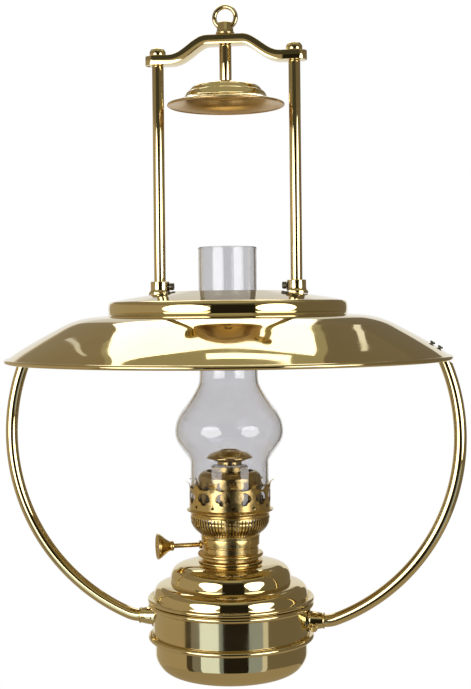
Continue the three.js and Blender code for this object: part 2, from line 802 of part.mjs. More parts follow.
// The fount's lower shell: a straight side, a round bend and a flat bottom.
function fountBowl() {
  const radius = fountDiameter / 2;
  const bendZ = fountBottomZ + fountBend;
  const outline = [
    [0, fountBottomZ],
    ...arc(radius - fountBend, bendZ, fountBend, -90, 0, 4),
    [radius, fountShellTopZ],
  ];
  const inner = [
    [radius - thinSheet, fountShellTopZ],
    ...arc(radius - fountBend, bendZ, fountBend - thinSheet, 0, -90, 4),
    [0, fountBottomZ + thinSheet],
  ];
  return turned([...outline, ...inner], wideSides);
}

// The fount's upper shell, spun in two steps up to the neck, with a rolled rim.
function fountTop() {
  const rim = fountRimDiameter / 2;
  const shoulder = lowerShoulderDiameter / 2;
  const dome = upperDomeDiameter / 2;
  const neck = collarDiameter / 2 + slideGap;
  const flangeZ = fountRimZ + thinSheet / 2;
  const stepZ = flangeZ + lowerShoulderHeight;
  const shoulderShares = [[0, 0.14], [0.2, 0.6], [0.55, 0.9], [0.94, 1]];
  const domeShares = [[0, 0.16], [0.06, 0.5], [0.24, 0.8], [0.56, 0.95], [1, 1]];
  const outline = [
    [neck, stepZ + upperDomeHeight],
    ...domeShares.slice(0, -1).reverse().map(([inward, up]) =>
      [dome - (dome - neck) * inward, stepZ + upperDomeHeight * up]),
    ...shoulderShares.reverse().map(([inward, up]) =>
      [shoulder - (shoulder - dome) * inward, flangeZ + lowerShoulderHeight * up]),
    [shoulder + thinSheet, flangeZ],
    [rim - fountRoll, flangeZ],
  ];
  return turned(rolledSheet(outline, thinSheet, fountRoll / 2), wideSides);
}

// The threaded collar stands in the neck of the fount, with a flange on the dome.
function fountCollar() {
  const radius = collarDiameter / 2;
  const inner = radius - collarWall;
  const flange = collarFlangeDiameter / 2;
  const seat = coverTopZ + seatGap;
  return turned([
    [inner, seat - collarDepth],
    [radius - seatGap, seat - collarDepth],
    [radius - seatGap, seat],
    [flange, seat],
    [flange, seat + collarFlangeHeight / 2],
    [radius + seatGap, seat + collarFlangeHeight],
    [radius + seatGap, collarTopZ],
    [inner, collarTopZ],
    [inner, seat - collarDepth],
  ]);
}

// The burner's base: a grooved neck, a flange that seats on the collar, and a threaded spigot.
function burnerBase() {
  const neck = baseNeckDiameter / 2;
  const flange = baseFlangeDiameter / 2;
  const flangeTop = baseFlangeZ + baseFlangeHeight;
  const grooveZ = baseTopZ - baseNeckHeight;
  const passage = wickOuter + slideGap;
  const profile = turned([
    [passage, baseFloorZ],
    [spigotRadius - baseWall, baseFloorZ],
    [spigotRadius - baseWall, baseFlangeZ - spigotLength],
    [spigotRadius, baseFlangeZ - spigotLength],
    [spigotRadius, baseFlangeZ],
    [flange, baseFlangeZ],
    [flange + seatGap, baseFlangeZ + baseFlangeHeight / 2],
    [flange - baseGroove, flangeTop],
    [baseWaist, flangeTop],
    [baseWaist, grooveZ - baseGroove],
    [baseWaist - baseGroove / 2, grooveZ - baseGroove / 2],
    [baseWaist, grooveZ],
    [neck, grooveZ],
    [neck, baseTopZ],
    [baseInner, baseTopZ],
    [baseInner, baseFloorZ + baseFloor],
    [passage, baseFloorZ + baseFloor],
    [passage, baseFloorZ],
  ]);
  return solid(profile).subtract(solid(winderWay(bushDiameter / 2 + seatGap)));
}

// A bore along the winder's shaft, through the wall on the knob's side.
function winderWay(radius) {
  const way = rod(2 * radius, winderInnerEnd / 2, baseFlangeDiameter, 10);
  return onWinder(way);
}

// Lays a form, made along Z, on the winder's shaft: Z runs from beside the wick out to the knob.
function onWinder(geometry) {
  alongX(geometry).translate(0, -winderOffset, winderZ);
  return turnedBy(geometry, winderAngle);
}

function winderBush() {
  const radius = bushDiameter / 2;
  const bore = winderShaftDiameter / 2 + seatGap;
  const neck = baseNeckDiameter / 2;
  const wall = Math.sqrt(neck * neck - winderOffset * winderOffset);
  return onWinder(tube(radius, bore, wall - bushLength / 2, wall + bushLength / 2 + radius, 10));
}

function winderShaft() {
  return onWinder(rod(winderShaftDiameter, -winderInnerEnd, winderKnobReach - knobLength / 2, 10));
}

// The knob is a trumpet: a bead at its neck, a flared back and a flat face with a thin rim.
function winderKnob() {
  const bore = winderShaftDiameter / 2 + seatGap;
  const face = winderKnobReach + knobRim;
  const start = face - knobLength;
  const radius = knobDiameter / 2;
  const bead = knobNeck / 2;
  const floor = winderKnobReach - knobLength / 2 + seatGap;
  const beadShares = [[0.72, 0], [1, 0.12], [1, 0.26], [0.8, 0.34]];
  const flareShares = [[0.3, 0.38], [0.38, 0.56], [0.58, 0.76], [0.86, 0.92]];
  const dishShare = 0.9;
  return onWinder(turned([
    [0, floor],
    [bore, floor],
    [bore, start],
    ...beadShares.map(([out, along]) => [bead * out, start + knobLength * along]),
    ...flareShares.map(([out, along]) => [radius * out, start + knobLength * along]),
    [radius, face - knobRim],
    [radius, face - knobRim / 2],
    [radius * dishShare, face],
    [0, face - knobRim],
  ], smallSides + 4));
}

// A star wheel with pointed teeth that bite the wick.
function starWheel(along) {
  const outer = starDiameter / 2;
  const star = new THREE.Shape();
  for (let i = 0; i < 2 * starTeeth; i += 1) {
    const radius = i % 2 ? outer - starToothDepth : outer;
    const angle = (Math.PI * i) / starTeeth;
    const move = i ? 'lineTo' : 'moveTo';
    star[move](radius * Math.cos(angle), radius * Math.sin(angle));
  }
  star.closePath();
  const bore = new THREE.Path();
  bore.absarc(0, 0, winderShaftDiameter / 2 + seatGap, 0, 2 * Math.PI, true);
  star.holes.push(bore);
  const wheel = new THREE.ExtrudeGeometry(star, { depth: starWidth, bevelEnabled: false, curveSegments: 4 });
  return onWinder(wheel.translate(0, 0, along - starWidth / 2));
}

// The wick is a flat one bent into a tube, so that it has one open seam down its length.
function wick() {
  const half = THREE.MathUtils.degToRad(wickGapAngle / 2);
  const section = new THREE.Shape();
  section.absarc(0, 0, wickOuter, half, 2 * Math.PI - half);
  section.absarc(0, 0, wickInner, 2 * Math.PI - half, half, true);
  const length = wickTubeTopZ + wickStand - baseFloorZ + wickTailLength;
  const band = new THREE.ExtrudeGeometry(section, { depth: length, bevelEnabled: false, curveSegments: 12 });
  return turnedBy(band.translate(0, 0, wickTubeTopZ + wickStand - length), wickSeamAngle);
}

// Cuts the air window through a tube, at the wick's seam and level with the basket's slots.
function airWindow(reach) {
  const openShare = 0.7;
  const middleShare = 0.55;
  const seam = 2 * draftOuter * Math.sin(THREE.MathUtils.degToRad(wickGapAngle / 2));
  const width = seam * openShare;
  const height = basketHeight * openShare;
  const middle = baseTopZ + basketHeight * middleShare;
  return solid(turnedBy(block(reach, width, height, reach / 2, 0, middle), wickSeamAngle));
}

function wickTube() {
  const outer = wickTubeInner + tubeWall;
  const flange = baseInner - seatGap;
  const bottom = baseTopZ - flangeThickness;
  const body = turned([
    [wickTubeInner, bottom],
    [flange, bottom],
    [flange, baseTopZ],
    [outer, baseTopZ],
    [outer, wickTubeTopZ],
    [wickTubeInner, wickTubeTopZ],
    [wickTubeInner, bottom],
  ]);
  return solid(body).subtract(airWindow(2 * outer));
}

// The draft tube inside the wick stands on a fin, which comes up through the wick's seam.
function draftTube() {
  const inner = draftOuter - tubeWall;
  const foot = baseFloorZ + baseFloor + seatGap;
  const top = wickTubeTopZ - seatGap;
  const finTop = baseTopZ - flangeThickness - seatGap;
  const reach = baseInner - seatGap;
  const fin = block(reach - inner, flangeThickness, finTop - foot, (reach + inner) / 2, 0, (finTop + foot) / 2);
  return solid(tube(draftOuter, inner, foot, top))
    .add(solid(turnedBy(fin, wickSeamAngle)))
    .subtract(airWindow(draftOuter + cutOverrun));
}

// The basket is a slotted bowl that lets air in under the flame.
function burnerBasket() {
  const top = basketDiameter / 2;
  const bottom = baseNeckDiameter / 2 + seatGap;
  const footZ = baseTopZ + seatGap;
  const wallShares = [[0.98, 0.7], [0.78, 0.44], [0.04, 0.12], [0, 0]];
  const slotShares = [0.15, 0.85];
  const outline = [
    [top - thinSheet * 2, basketTopZ],
    [top, basketTopZ],
    ...wallShares.map(([out, up]) => [bottom + (top - bottom) * out, footZ + basketHeight * up]),
  ];
  const body = solid(turned(sheetOf(outline, thinSheet), basketSlots));
  const [slotBottom, slotTop] = slotShares.map((up) => footZ + basketHeight * up);
  const cutter = block(top, basketSlotWidth, slotTop - slotBottom, top, 0, (slotTop + slotBottom) / 2);
  cutter.translate(bottom - top / 2 - thinSheet, 0, 0);
  const cuts = [];
  for (let i = 0; i < basketSlots; i += 1) {
    cuts.push(solid(turnedBy(cutter.clone(), (360 * (i + 0.5)) / basketSlots)));
  }
  return body.subtract(wasm.Manifold.union(cuts));
}

// The pierced gallery: a floor, a ridge, and a wall whose arches end in prongs bent outwards.
function gallery() {
  const outer = galleryDiameter / 2;
  const inner = fitterDiameter / 2 + slideGap;
  const ridge = galleryRidgeDiameter / 2;
  const floorInner = capDiameter / 2 - thinSheet * 2;
  const bottom = basketTopZ + seatGap;
  const top = galleryFloorZ + galleryHeight;
  const bendZ = top - prongLength;
  const ridgeShares = [0.38, 0.52];
  const profile = turned([
    [floorInner, galleryFloorZ - thinSheet],
    [inner, galleryFloorZ - thinSheet],
    [inner - thinSheet, bottom],
    [outer, bottom],
    ...ridgeShares.map((up) => [ridge, bottom + galleryRidgeHeight * up]),
    [outer, galleryFloorZ],
    [outer, bendZ],
    [outer + prongFlare, top],
    [outer + prongFlare - thinSheet, top],
    [inner, bendZ],
    [inner, galleryFloorZ],
    [floorInner, galleryFloorZ],
    [floorInner, galleryFloorZ - thinSheet],
  ], galleryProngs * 2);
  // Half of each piercing, as shares of the prongs' pitch and of a height.
  const archShares = [[0, 0.26], [0.12, 0.3], [0.34, 0.46], [0.31, 0.68], [0.12, 0.82]];
  const notchShares = [[0.22, -1.3], [0.36, -0.9], [0.36, 0.5]];
  const diamondShares = [[0, 0.06], [0.1, 0.14], [0, 0.22]];
  const cuts = [];
  const pitch = (2 * Math.PI * outer) / galleryProngs;
  const archHeight = galleryHeight - prongLength;
  const arch = mirrored(archShares, pitch, archHeight, 0);
  const notch = mirrored(notchShares, pitch, prongLength, galleryHeight);
  const diamond = mirrored(diamondShares, pitch, archHeight, 0);
  for (let i = 0; i < galleryProngs; i += 1) {
    const turn = 360 / galleryProngs;
    cuts.push(pierced(arch, turn * i));
    cuts.push(pierced(notch, turn * i));
    cuts.push(pierced(diamond, turn * (i + 0.5)));
  }
  return solid(profile).subtract(wasm.Manifold.union(cuts));
}

// An outline made of one half and its mirror image.
function mirrored(shares, width, height, base) {
  const half = shares.map(([out, up]) => [width * out, base + height * up]);
  const other = half.filter(([x]) => x > 0).reverse().map(([x, y]) => [-x, y]);
  return new THREE.Shape([...half, ...other].map(([x, y]) => new THREE.Vector2(x, y)));
}

// A punch of the given outline, driven out through the gallery's wall at an angle.
function pierced(shape, degrees) {
  const start = fitterDiameter / 2 - thinSheet;
  const depth = galleryRidgeDiameter / 2 - start + cutOverrun + prongFlare;
  const punch = new THREE.ExtrudeGeometry(shape, { depth, bevelEnabled: false, curveSegments: 3 });
  punch.rotateX(Math.PI / 2).rotateZ(Math.PI / 2).translate(start, 0, galleryFloorZ);
  return solid(turnedBy(punch, degrees));
}

// The domed cap round the wick tube steers the air against the flame.
function deflectorCap() {
  const radius = capDiameter / 2;
  const opening = capOpening / 2;
  const foot = galleryFloorZ + seatGap;
  const crown = radius - opening;
  const outline = [
    ...arc(opening, foot + capHeight - crown, crown, 90, 0, 3),
    [radius, foot + thinSheet],
    [radius, foot],
  ];
  return turned(sheetOf(outline, thinSheet));
}

// The flame spreader: a disc on a neck that drops into the draft tube.
function flameSpreader() {
  const edge = spreaderDiameter / 2;
  const top = spreaderTopDiameter / 2;
  const neck = spreaderNeckDiameter / 2;
  const seat = wickTubeTopZ;
  const flangeTop = seat + flangeThickness;
  const bellyZ = flangeTop + spreaderNeckHeight;
  const edgeZ = bellyZ + spreaderBelly;
  const spigot = draftOuter - tubeWall - slideGap;
  const wall = tubeWall * 2;
  const ceiling = bellyZ - wall;
  const bellyShare = 0.62;
  const coneShares = [[0.97, 0.16], [0.72, 0.62]];
  return turned([
    [0, ceiling],
    [spigot - wall, ceiling],
    [spigot - wall, seat - spreaderSpigot],
    [spigot, seat - spreaderSpigot],
    [spigot, seat],
    [draftOuter - seatGap, seat],
    [draftOuter - seatGap, flangeTop],
    [neck, flangeTop],
    [neck, bellyZ],
    [edge * bellyShare, bellyZ + spreaderEdge / 2],
    [edge, edgeZ],
    ...coneShares.map(([out, up]) => [edge * out, edgeZ + spreaderHeight * up]),
    [top, edgeZ + spreaderHeight],
    [top - spreaderEdge, edgeZ + spreaderHeight],
    [0, edgeZ + spreaderHeight - spreaderEdge],
  ]);
}

// The glass: a fitter, a bulge round the flame and a long straight tube.
function chimney() {
  const fitter = fitterDiameter / 2;
  const tubeRadius = chimneyDiameter / 2;
  const bulge = bulgeDiameter / 2 - fitter;
  const swell = bulgeDiameter / 2 - tubeRadius;
  const middleShare = 0.375;
  const middle = chimneyFootZ + fitterHeight + bulgeHeight * middleShare;
  const lower = middle - chimneyFootZ - fitterHeight;
  const upper = bulgeHeight - lower;
  const lowerShares = [[0.04, 0.08], [0.42, 0.38], [0.84, 0.68], [1, 1]];
  const upperShares = [[0.95, 0.17], [0.78, 0.37], [0.46, 0.58], [0.21, 0.77], [0.03, 1]];
  const outline = [
    [tubeRadius, chimneyFootZ + chimneyHeight],
    ...upperShares.reverse().map(([out, up]) => [tubeRadius + swell * out, middle + upper * up]),
    ...lowerShares.reverse().map(([out, up]) => [fitter + bulge * out, chimneyFootZ + fitterHeight + lower * up]),
    [fitter, chimneyFootZ + fitterHeight],
    [fitter, chimneyFootZ],
  ];
  return turned(sheetOf(outline, chimneyWall));
}

piece('yoke', yoke(), polishedBrass());
piece('suspension_ring', suspensionRing(), polishedBrass());
piece('ring_stud', ringStud(), polishedBrass());
piece('smoke_bell_stem', bellStem(), polishedBrass());
piece('smoke_bell', smokeBell(), satinBrass());
piece('smoke_bell_nut', bellNut(), steel());
piece('shade', shade(), polishedBrass());
piece('fount_holder', fountHolder(), polishedBrass());
for (const [name, side] of sides) {
  piece(`rod_${name}`, frameRod().translate(side * rodReach, 0, 0), polishedBrass());
  piece(`rod_cap_nut_${name}`, capNut().translate(side * rodReach, 0, 0), polishedBrass());
  piece(`rod_socket_${name}`, rodSocket(side), polishedBrass());
  piece(`socket_screw_${name}`, socketScrew(side), steel());
  piece(`crown_nut_${name}`, crownNut(side), polishedBrass());
  piece(`arm_${name}`, arm(side), polishedBrass());
  piece(`arm_lug_${name}`, armLug(side), polishedBrass());
  piece(`lug_screw_${name}_inner`, lugScrew(side, -1), steel());
  piece(`lug_screw_${name}_outer`, lugScrew(side, 1), steel());
  piece(`arm_socket_${name}`, armSocket(side), polishedBrass());
  piece(`arm_screw_${name}`, armScrew(side), polishedBrass());
}
piece('fount_bowl', fountBowl(), polishedBrass());
piece('fount_top', fountTop(), polishedBrass());
piece('fount_collar', fountCollar(), burnerBrass());
piece('burner_base', burnerBase(), burnerBrass());
piece('burner_basket', burnerBasket(), burnerBrass());
piece('wick_tube', wickTube(), burnerBrass());
piece('draft_tube', draftTube(), burnerBrass());
piece('wick', wick(), cotton());
piece('winder_bush', winderBush(), burnerBrass());
piece('winder_shaft', winderShaft(), burnerBrass());
piece('winder_knob', winderKnob(), burnerBrass());
piece('star_wheel_front', starWheel(-starPitch / 2), steel());
piece('star_wheel_back', starWheel(starPitch / 2), steel());
piece('gallery', gallery(), burnerBrass());
piece('deflector_cap', deflectorCap(), burnerBrass());
piece('flame_spreader', flameSpreader(), burnerBrass());
piece('chimney', chimney(), glass());

export default lamp;
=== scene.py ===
# %% [markdown]
# # A hanging ship lamp
# The lamp hangs from a ring. A cast yoke and two rods carry a wide dished shade, two bent arms hang
# below it, and a ring at their feet holds the oil fount with its round-wick burner and glass.
# The frame comes first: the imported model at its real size, in metres, with +Z up and the origin where
# the hook bears in the ring. Each finished piece then rides on the body that it belongs to.

# %% Load the frame
import math

import bpy
from mathutils import Matrix, Vector


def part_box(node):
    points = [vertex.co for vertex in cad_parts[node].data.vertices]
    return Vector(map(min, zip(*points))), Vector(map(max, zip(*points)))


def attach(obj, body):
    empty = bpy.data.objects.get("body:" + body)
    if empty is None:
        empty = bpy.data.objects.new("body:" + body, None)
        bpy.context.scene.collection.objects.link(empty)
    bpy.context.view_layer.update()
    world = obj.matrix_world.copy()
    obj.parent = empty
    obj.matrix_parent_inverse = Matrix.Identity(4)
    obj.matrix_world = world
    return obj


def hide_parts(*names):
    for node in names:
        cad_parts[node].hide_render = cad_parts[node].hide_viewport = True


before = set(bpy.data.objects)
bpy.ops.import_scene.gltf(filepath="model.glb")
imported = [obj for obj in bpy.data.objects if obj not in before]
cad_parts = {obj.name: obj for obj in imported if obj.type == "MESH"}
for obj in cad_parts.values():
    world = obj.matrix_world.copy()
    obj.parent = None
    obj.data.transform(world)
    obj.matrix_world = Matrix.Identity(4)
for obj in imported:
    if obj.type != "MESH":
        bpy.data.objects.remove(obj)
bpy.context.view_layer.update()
MM = 0.001

# %% [markdown]
# The camera stands level with the middle of the lamp, about a metre away and a little to its right,
# which is where both arms and both rods have the widths and heights that the photograph shows. A lens
# shift, not a tilt, lowers the view, so upright lines stay upright.

# %% Camera
PHOTO_WIDTH, PHOTO_HEIGHT = 471, 689
CAMERA_AZIMUTH = math.radians(10)
CAMERA_DISTANCE = 1.054
CAMERA_LEVEL = -0.2439
CAMERA_ROLL = math.radians(-0.6)
FOCAL_PIXELS = 1300
SENSOR_HEIGHT = 36
AXIS_PIXEL_X = 228
HORIZON_PIXEL_Y = 310


def from_camera(right, toward, height):
    """A point given by its distances to the right of the lamp and towards the camera."""
    cos, sin = math.cos(CAMERA_AZIMUTH), math.sin(CAMERA_AZIMUTH)
    return Vector((right * cos + toward * sin, right * sin - toward * cos, height))


def add_camera():
    """The camera at the photograph's place, framed on 471 by 689 pixels."""
    data = bpy.data.cameras.new("camera")
    data.sensor_fit = "VERTICAL"
    data.sensor_height = SENSOR_HEIGHT
    data.lens = FOCAL_PIXELS / PHOTO_HEIGHT * SENSOR_HEIGHT
    data.shift_x = (PHOTO_WIDTH / 2 - AXIS_PIXEL_X) / PHOTO_HEIGHT
    data.shift_y = (HORIZON_PIXEL_Y - PHOTO_HEIGHT / 2) / PHOTO_HEIGHT
    camera = bpy.data.objects.new("camera", data)
    bpy.context.scene.collection.objects.link(camera)
    camera.location = from_camera(0, CAMERA_DISTANCE, CAMERA_LEVEL)
    camera.rotation_euler = (math.pi / 2, -CAMERA_ROLL, CAMERA_AZIMUTH)
    bpy.context.scene.camera = camera
    return camera


print("camera at", tuple(round(v, 3) for v in add_camera().location))

# %% [markdown]
# A white background could be a lit wall, but then its light would flood the brass. Here the world is
# plain white to the camera, and in reflections and through the glass, and it lights the rest softly.

# %% World
WORLD_FILL = 0.6
WHITE = (1, 1, 1, 1)


def new_nodes(owner):
    """The emptied node tree of a material or world."""
    owner.use_nodes = True
    owner.node_tree.nodes.clear()
    return owner.node_tree


def node_in(tree, kind, inputs=None, **settings):
    """A new node with its settings. Each input gets a value, or a link from another node's output."""
    made = tree.nodes.new(kind)
    for key, value in settings.items():
        setattr(made, key, value)
    for key, value in (inputs or {}).items():
        if isinstance(value, bpy.types.NodeSocket):
            tree.links.new(value, made.inputs[key])
        else:
            made.inputs[key].default_value = value
    return made


def maths(tree, operation, *values):
    """The output of a Math node on values or sockets."""
    return node_in(tree, "ShaderNodeMath", dict(enumerate(values)), operation=operation).outputs[0]


def seen_directly(tree):
    """A value that is 1 for camera, glossy and transmission rays, and 0 for the rest."""
    path = node_in(tree, "ShaderNodeLightPath").outputs
    either = maths(tree, "MAXIMUM", path["Is Camera Ray"], path["Is Glossy Ray"])
    return maths(tree, "MAXIMUM", either, path["Is Transmission Ray"])


def end_in_blend(tree, output, share, first, second):
    """Ends the tree in a blend of two shaders."""
    mix = node_in(tree, "ShaderNodeMixShader", {0: share, 1: first.outputs[0], 2: second.outputs[0]})
    node_in(tree, output, {"Surface": mix.outputs[0]})


def white_world():
    """White where it is seen, and a soft grey fill elsewhere."""
    world = bpy.data.worlds.new("studio")
    tree = new_nodes(world)
    fill = node_in(tree, "ShaderNodeBackground", {"Color": WHITE, "Strength": WORLD_FILL})
    white = node_in(tree, "ShaderNodeBackground", {"Color": WHITE, "Strength": 1})
    end_in_blend(tree, "ShaderNodeOutputWorld", seen_directly(tree), fill, white)
    return world


bpy.context.scene.world = white_world()
bpy.context.scene.view_settings.view_transform = "Standard"
print("world fill:", WORLD_FILL)

# %% [markdown]
# Polished brass looks like what stands round it, so the studio round the lamp is built from cards that
# only mirrors see. A dark field stands where the camera is, warm walls stand at the sides, the white
# backdrop is behind, two narrow strips lean at the back, and smaller cards low in front make the
# fields on the fount's upright wall.

# %% Sizes of the floor and cards
FLOOR_DROP = -1.7
FLOOR_SIZE = 12
FLOOR_GREY = (0.8, 0.8, 0.8, 1)
CARD_STEPS = 12
WARM = (1, 0.84, 0.58)
OLIVE = (1, 0.93, 0.62)
NEUTRAL = (1, 0.99, 0.96)
COOL = (0.71, 0.84, 1)
# Each wall of card: radius, bottom, top, from and to azimuth in degrees with 0 at the camera, how
# bright it looks, its tint.
FAR, MIDDLE, NEAR = (2.4, -1.65, 1.9), (2.35, -1.65), (1.8, -1.6, -0.74)
WALL_CARDS = {
    "card_front": (*FAR, -16, 25, 0.42, OLIVE),
    "card_right": (*FAR, 25, 168, 0.2, WARM),
    "card_left": (*FAR, -165, -16, 0.3, WARM),
    "card_back": (*FAR, 168, 195, 0.75, NEUTRAL),
    "dark_front": (*MIDDLE, 0.75, -16, 25, 0.02, WARM),
    "warm_left": (*MIDDLE, 0.4, -165, -16, 0.46, WARM),
    "backdrop_low": (2.3, -1.65, 0.3, 155, 205, 0.9, NEUTRAL),
    "high_dark": (1.9, 0.3, 0.75, -46, 25, 0.07, OLIVE),
    "low_dark_left": (*NEAR, -70, -60, 0.08, WARM),
    "low_grey_left": (*NEAR, -60, -46, 0.25, NEUTRAL),
    "low_white": (*NEAR, -46, -18, 1.4, COOL),
    "low_fade": (*NEAR, -18, -12, 0.35, COOL),
    "low_dark": (*NEAR, -12, 25, 0.02, WARM),
    "low_grey_right": (*NEAR, 25, 46, 0.48, COOL),
    "low_pale_right": (*NEAR, 46, 54, 0.76, NEUTRAL),
}
# Each leaning strip: azimuths and heights of its upper edge, its width, level and tint.
STREAK_RADIUS = 1.45
STREAK_CARDS = {
    "streak_left": ([(-153.6, 0.47), (-149.5, 0.76), (-146.4, 0.93), (-142.5, 1.13)], 0.06, 0.8, NEUTRAL),
    "streak_right": ([(156, 0.67), (154, 0.75), (152, 0.86), (149, 1), (144.5, 1.2)], 0.09, 1.1, NEUTRAL),
}
# Each flat card: middle to the right of and towards the camera, height, width, depth, level, tint.
FLAT_CARDS = {
    "ceiling_card": (0, 0, 1.9, 4.8, 4.8, 0.42, OLIVE),
    "over_right_card": (1.4, -1.3, 1.2, 1.6, 2, 0.22, WARM),
    "over_left_card": (-1.65, -1.3, 1.2, 1.7, 2, 0.3, WARM),
    "lower_card": (0, 0, -1.65, 4.8, 4.8, 0.4, WARM),
}
print("cards:", len(WALL_CARDS) + len(STREAK_CARDS) + len(FLAT_CARDS))

# %% [markdown]
# A card must not light the lamp, or the colours would change with it. So its material shines only for
# rays that metal has mirrored, and is clear for all others. The floor is matt and keeps the shadow.

# %% Card and floor materials
def plain_emitter(name, colour, strength):
    """A card's material: it shines evenly for rays that some metal has mirrored, also through glass."""
    material = bpy.data.materials.new(name)
    tree = new_nodes(material)
    mirrored = maths(tree, "GREATER_THAN", node_in(tree, "ShaderNodeLightPath").outputs["Glossy Depth"], 0.5)
    clear = node_in(tree, "ShaderNodeBsdfTransparent")
    shine = node_in(tree, "ShaderNodeEmission", {"Color": (*colour, 1), "Strength": strength})
    end_in_blend(tree, "ShaderNodeOutputMaterial", mirrored, clear, shine)
    return material


def pale_floor():
    """A matt pale floor that is white where it is seen."""
    material = bpy.data.materials.new("pale_floor")
    tree = new_nodes(material)
    matt = node_in(tree, "ShaderNodeBsdfDiffuse", {"Color": FLOOR_GREY})
    white = node_in(tree, "ShaderNodeEmission", {"Strength": 1})
    end_in_blend(tree, "ShaderNodeOutputMaterial", seen_directly(tree), matt, white)
    return material


print("floor grey:", FLOOR_GREY[0])

# %% [markdown]
# The cards are placed by azimuth from the camera's side, because that is how their mirror images are
# found: the lamp is round, so a field on the brass tells at which azimuth its card stands.

# %% Floor and cards
def around(azimuth, distance, height):
    """A point at an azimuth in degrees from the camera's side, and a distance from the lamp."""
    angle = math.radians(azimuth)
    return from_camera(distance * math.sin(angle), distance * math.cos(angle), height)


def show_card(name, corners, faces, level, tint):
    """A card that shines evenly. Metal mirrors it, but nothing else sees it."""
    mesh = bpy.data.meshes.new(name)
    mesh.from_pydata(corners, [], faces)
    mesh.materials.append(plain_emitter(name, tint, level))
    card = bpy.data.objects.new(name, mesh)
    bpy.context.scene.collection.objects.link(card)
    card.visible_camera = False
    card.visible_diffuse = False
    card.visible_shadow = False


def curved_card(name, radius, edge, level, tint):
    """A card that stands round the lamp, from a bottom to a top at each azimuth."""
    corners = [around(azimuth, radius, height) for azimuth, *heights in edge for height in heights]
    faces = [(at, at + 2, at + 3, at + 1) for at in range(0, len(corners) - 2, 2)]
    show_card(name, corners, faces, level, tint)


def flat_card(name, right, toward, height, width, depth, level, tint):
    """A level rectangle of card."""
    corners = [from_camera(right + across * width, toward + along * depth, height)
               for across, along in ((-0.5, -0.5), (0.5, -0.5), (0.5, 0.5), (-0.5, 0.5))]
    show_card(name, corners, [(0, 1, 2, 3)], level, tint)


bpy.ops.object.select_all(action="DESELECT")
bpy.ops.mesh.primitive_plane_add(size=FLOOR_SIZE, location=(0, 0, FLOOR_DROP))
floor = bpy.context.object
floor.name = "floor"
floor.data.materials.append(pale_floor())
for card_name, (radius, bottom, top, start, end, level, tint) in WALL_CARDS.items():
    edge = [(start + (end - start) * step / CARD_STEPS, bottom, top) for step in range(CARD_STEPS + 1)]
    curved_card(card_name, radius, edge, level, tint)
for card_name, (line, width, level, tint) in STREAK_CARDS.items():
    edge = [(azimuth, height - width, height) for azimuth, height in line]
    curved_card(card_name, STREAK_RADIUS, edge, level, tint)
for card_name, setting in FLAT_CARDS.items():
    flat_card(card_name, *setting)

# %% [markdown]
# The two round boxes in front make the white strips on rods, crown and glass. The big one that hangs
# over the lamp, with a narrow one before it, makes the white fields on the slope of the shade.

# %% Lights
# Each upright box: azimuth from the camera, height, distance, width, height of the box, its radiance.
FRONT_BOXES = {
    "front_left": (-39, -0.21, 1.7, 1.44, 0.98, 4),
    "front_right": (45, -0.19, 1.7, 1.24, 1.0, 4),
}
# Each box overhead: middle to the right and towards the camera, height, width, depth, its radiance.
OVER_BOXES = {
    "over_back": (-0.08, -1.0, 0.74, 0.92, 1.24, 2.4),
    "over_strip": (0.09, -0.26, 0.74, 0.37, 0.12, 2.4),
}
LIGHT_AIM = Vector((0, 0, -0.27))


def area_light(name, shape, place, rotation, width, tall, radiance):
    """An area light whose power gives the wanted radiance."""
    data = bpy.data.lights.new(name, "AREA")
    data.shape = shape
    data.size = width
    data.size_y = tall
    area = width * tall * (math.pi / 4 if shape == "ELLIPSE" else 1)
    data.energy = radiance * math.pi * area
    light = bpy.data.objects.new(name, data)
    bpy.context.scene.collection.objects.link(light)
    light.location = place
    light.rotation_euler = rotation
    light.visible_camera = False


for box_name, (azimuth, height, distance, width, tall, radiance) in FRONT_BOXES.items():
    place = around(azimuth, distance, height)
    facing = (LIGHT_AIM - place).to_track_quat("-Z", "Y").to_euler()
    area_light(box_name, "ELLIPSE", place, facing, width, tall, radiance)
for box_name, (right, toward, height, width, depth, radiance) in OVER_BOXES.items():
    place = from_camera(right, toward, height)
    area_light(box_name, "RECTANGLE", place, (0, 0, CAMERA_AZIMUTH), width, depth, radiance)
print("soft boxes:", len(FRONT_BOXES) + len(OVER_BOXES))

# %% [markdown]
# # Finishes
# Three effects are used by more than one metal, so each is a shader group. Rings left by the spinning
# lathe run round the axis of every turned piece. Handling leaves soft cloudy smears that dull the
# polish. Lacquer and tarnish shift the colour a little from place to place.

# %% Shader groups
FLOAT, COLOUR, VECTOR = "NodeSocketFloat", "NodeSocketColor", "NodeSocketVector"


def new_group(name, inputs, outputs):
    """An empty shader group with named sockets, and what it is given."""
    group = bpy.data.node_groups.new(name, "ShaderNodeTree")
    for label, kind, value in inputs:
        socket = group.interface.new_socket(name=label, in_out="INPUT", socket_type=kind)
        if value is not None:
            socket.default_value = value
    for label, kind in outputs:
        group.interface.new_socket(name=label, in_out="OUTPUT", socket_type=kind)
    return group, node_in(group, "NodeGroupInput").outputs


def noise_contrast(group, given, low, high, **inputs):
    """A cloud of noise at the given place and scale, with its contrast raised."""
    placed = {"Vector": given["Vector"], "Scale": given["Scale"]}
    cloud = node_in(group, "ShaderNodeTexNoise", {**placed, **inputs})
    levels = {"From Min": low, "From Max": high, "Value": cloud.outputs[0]}
    return node_in(group, "ShaderNodeMapRange", levels, interpolation_type="SMOOTHSTEP").outputs[0]


def colour_blend(tree, share, first, second):
    """The output of a colour mix."""
    return node_in(tree, "ShaderNodeMix", {0: share, 6: first, 7: second}, data_type="RGBA").outputs[2]


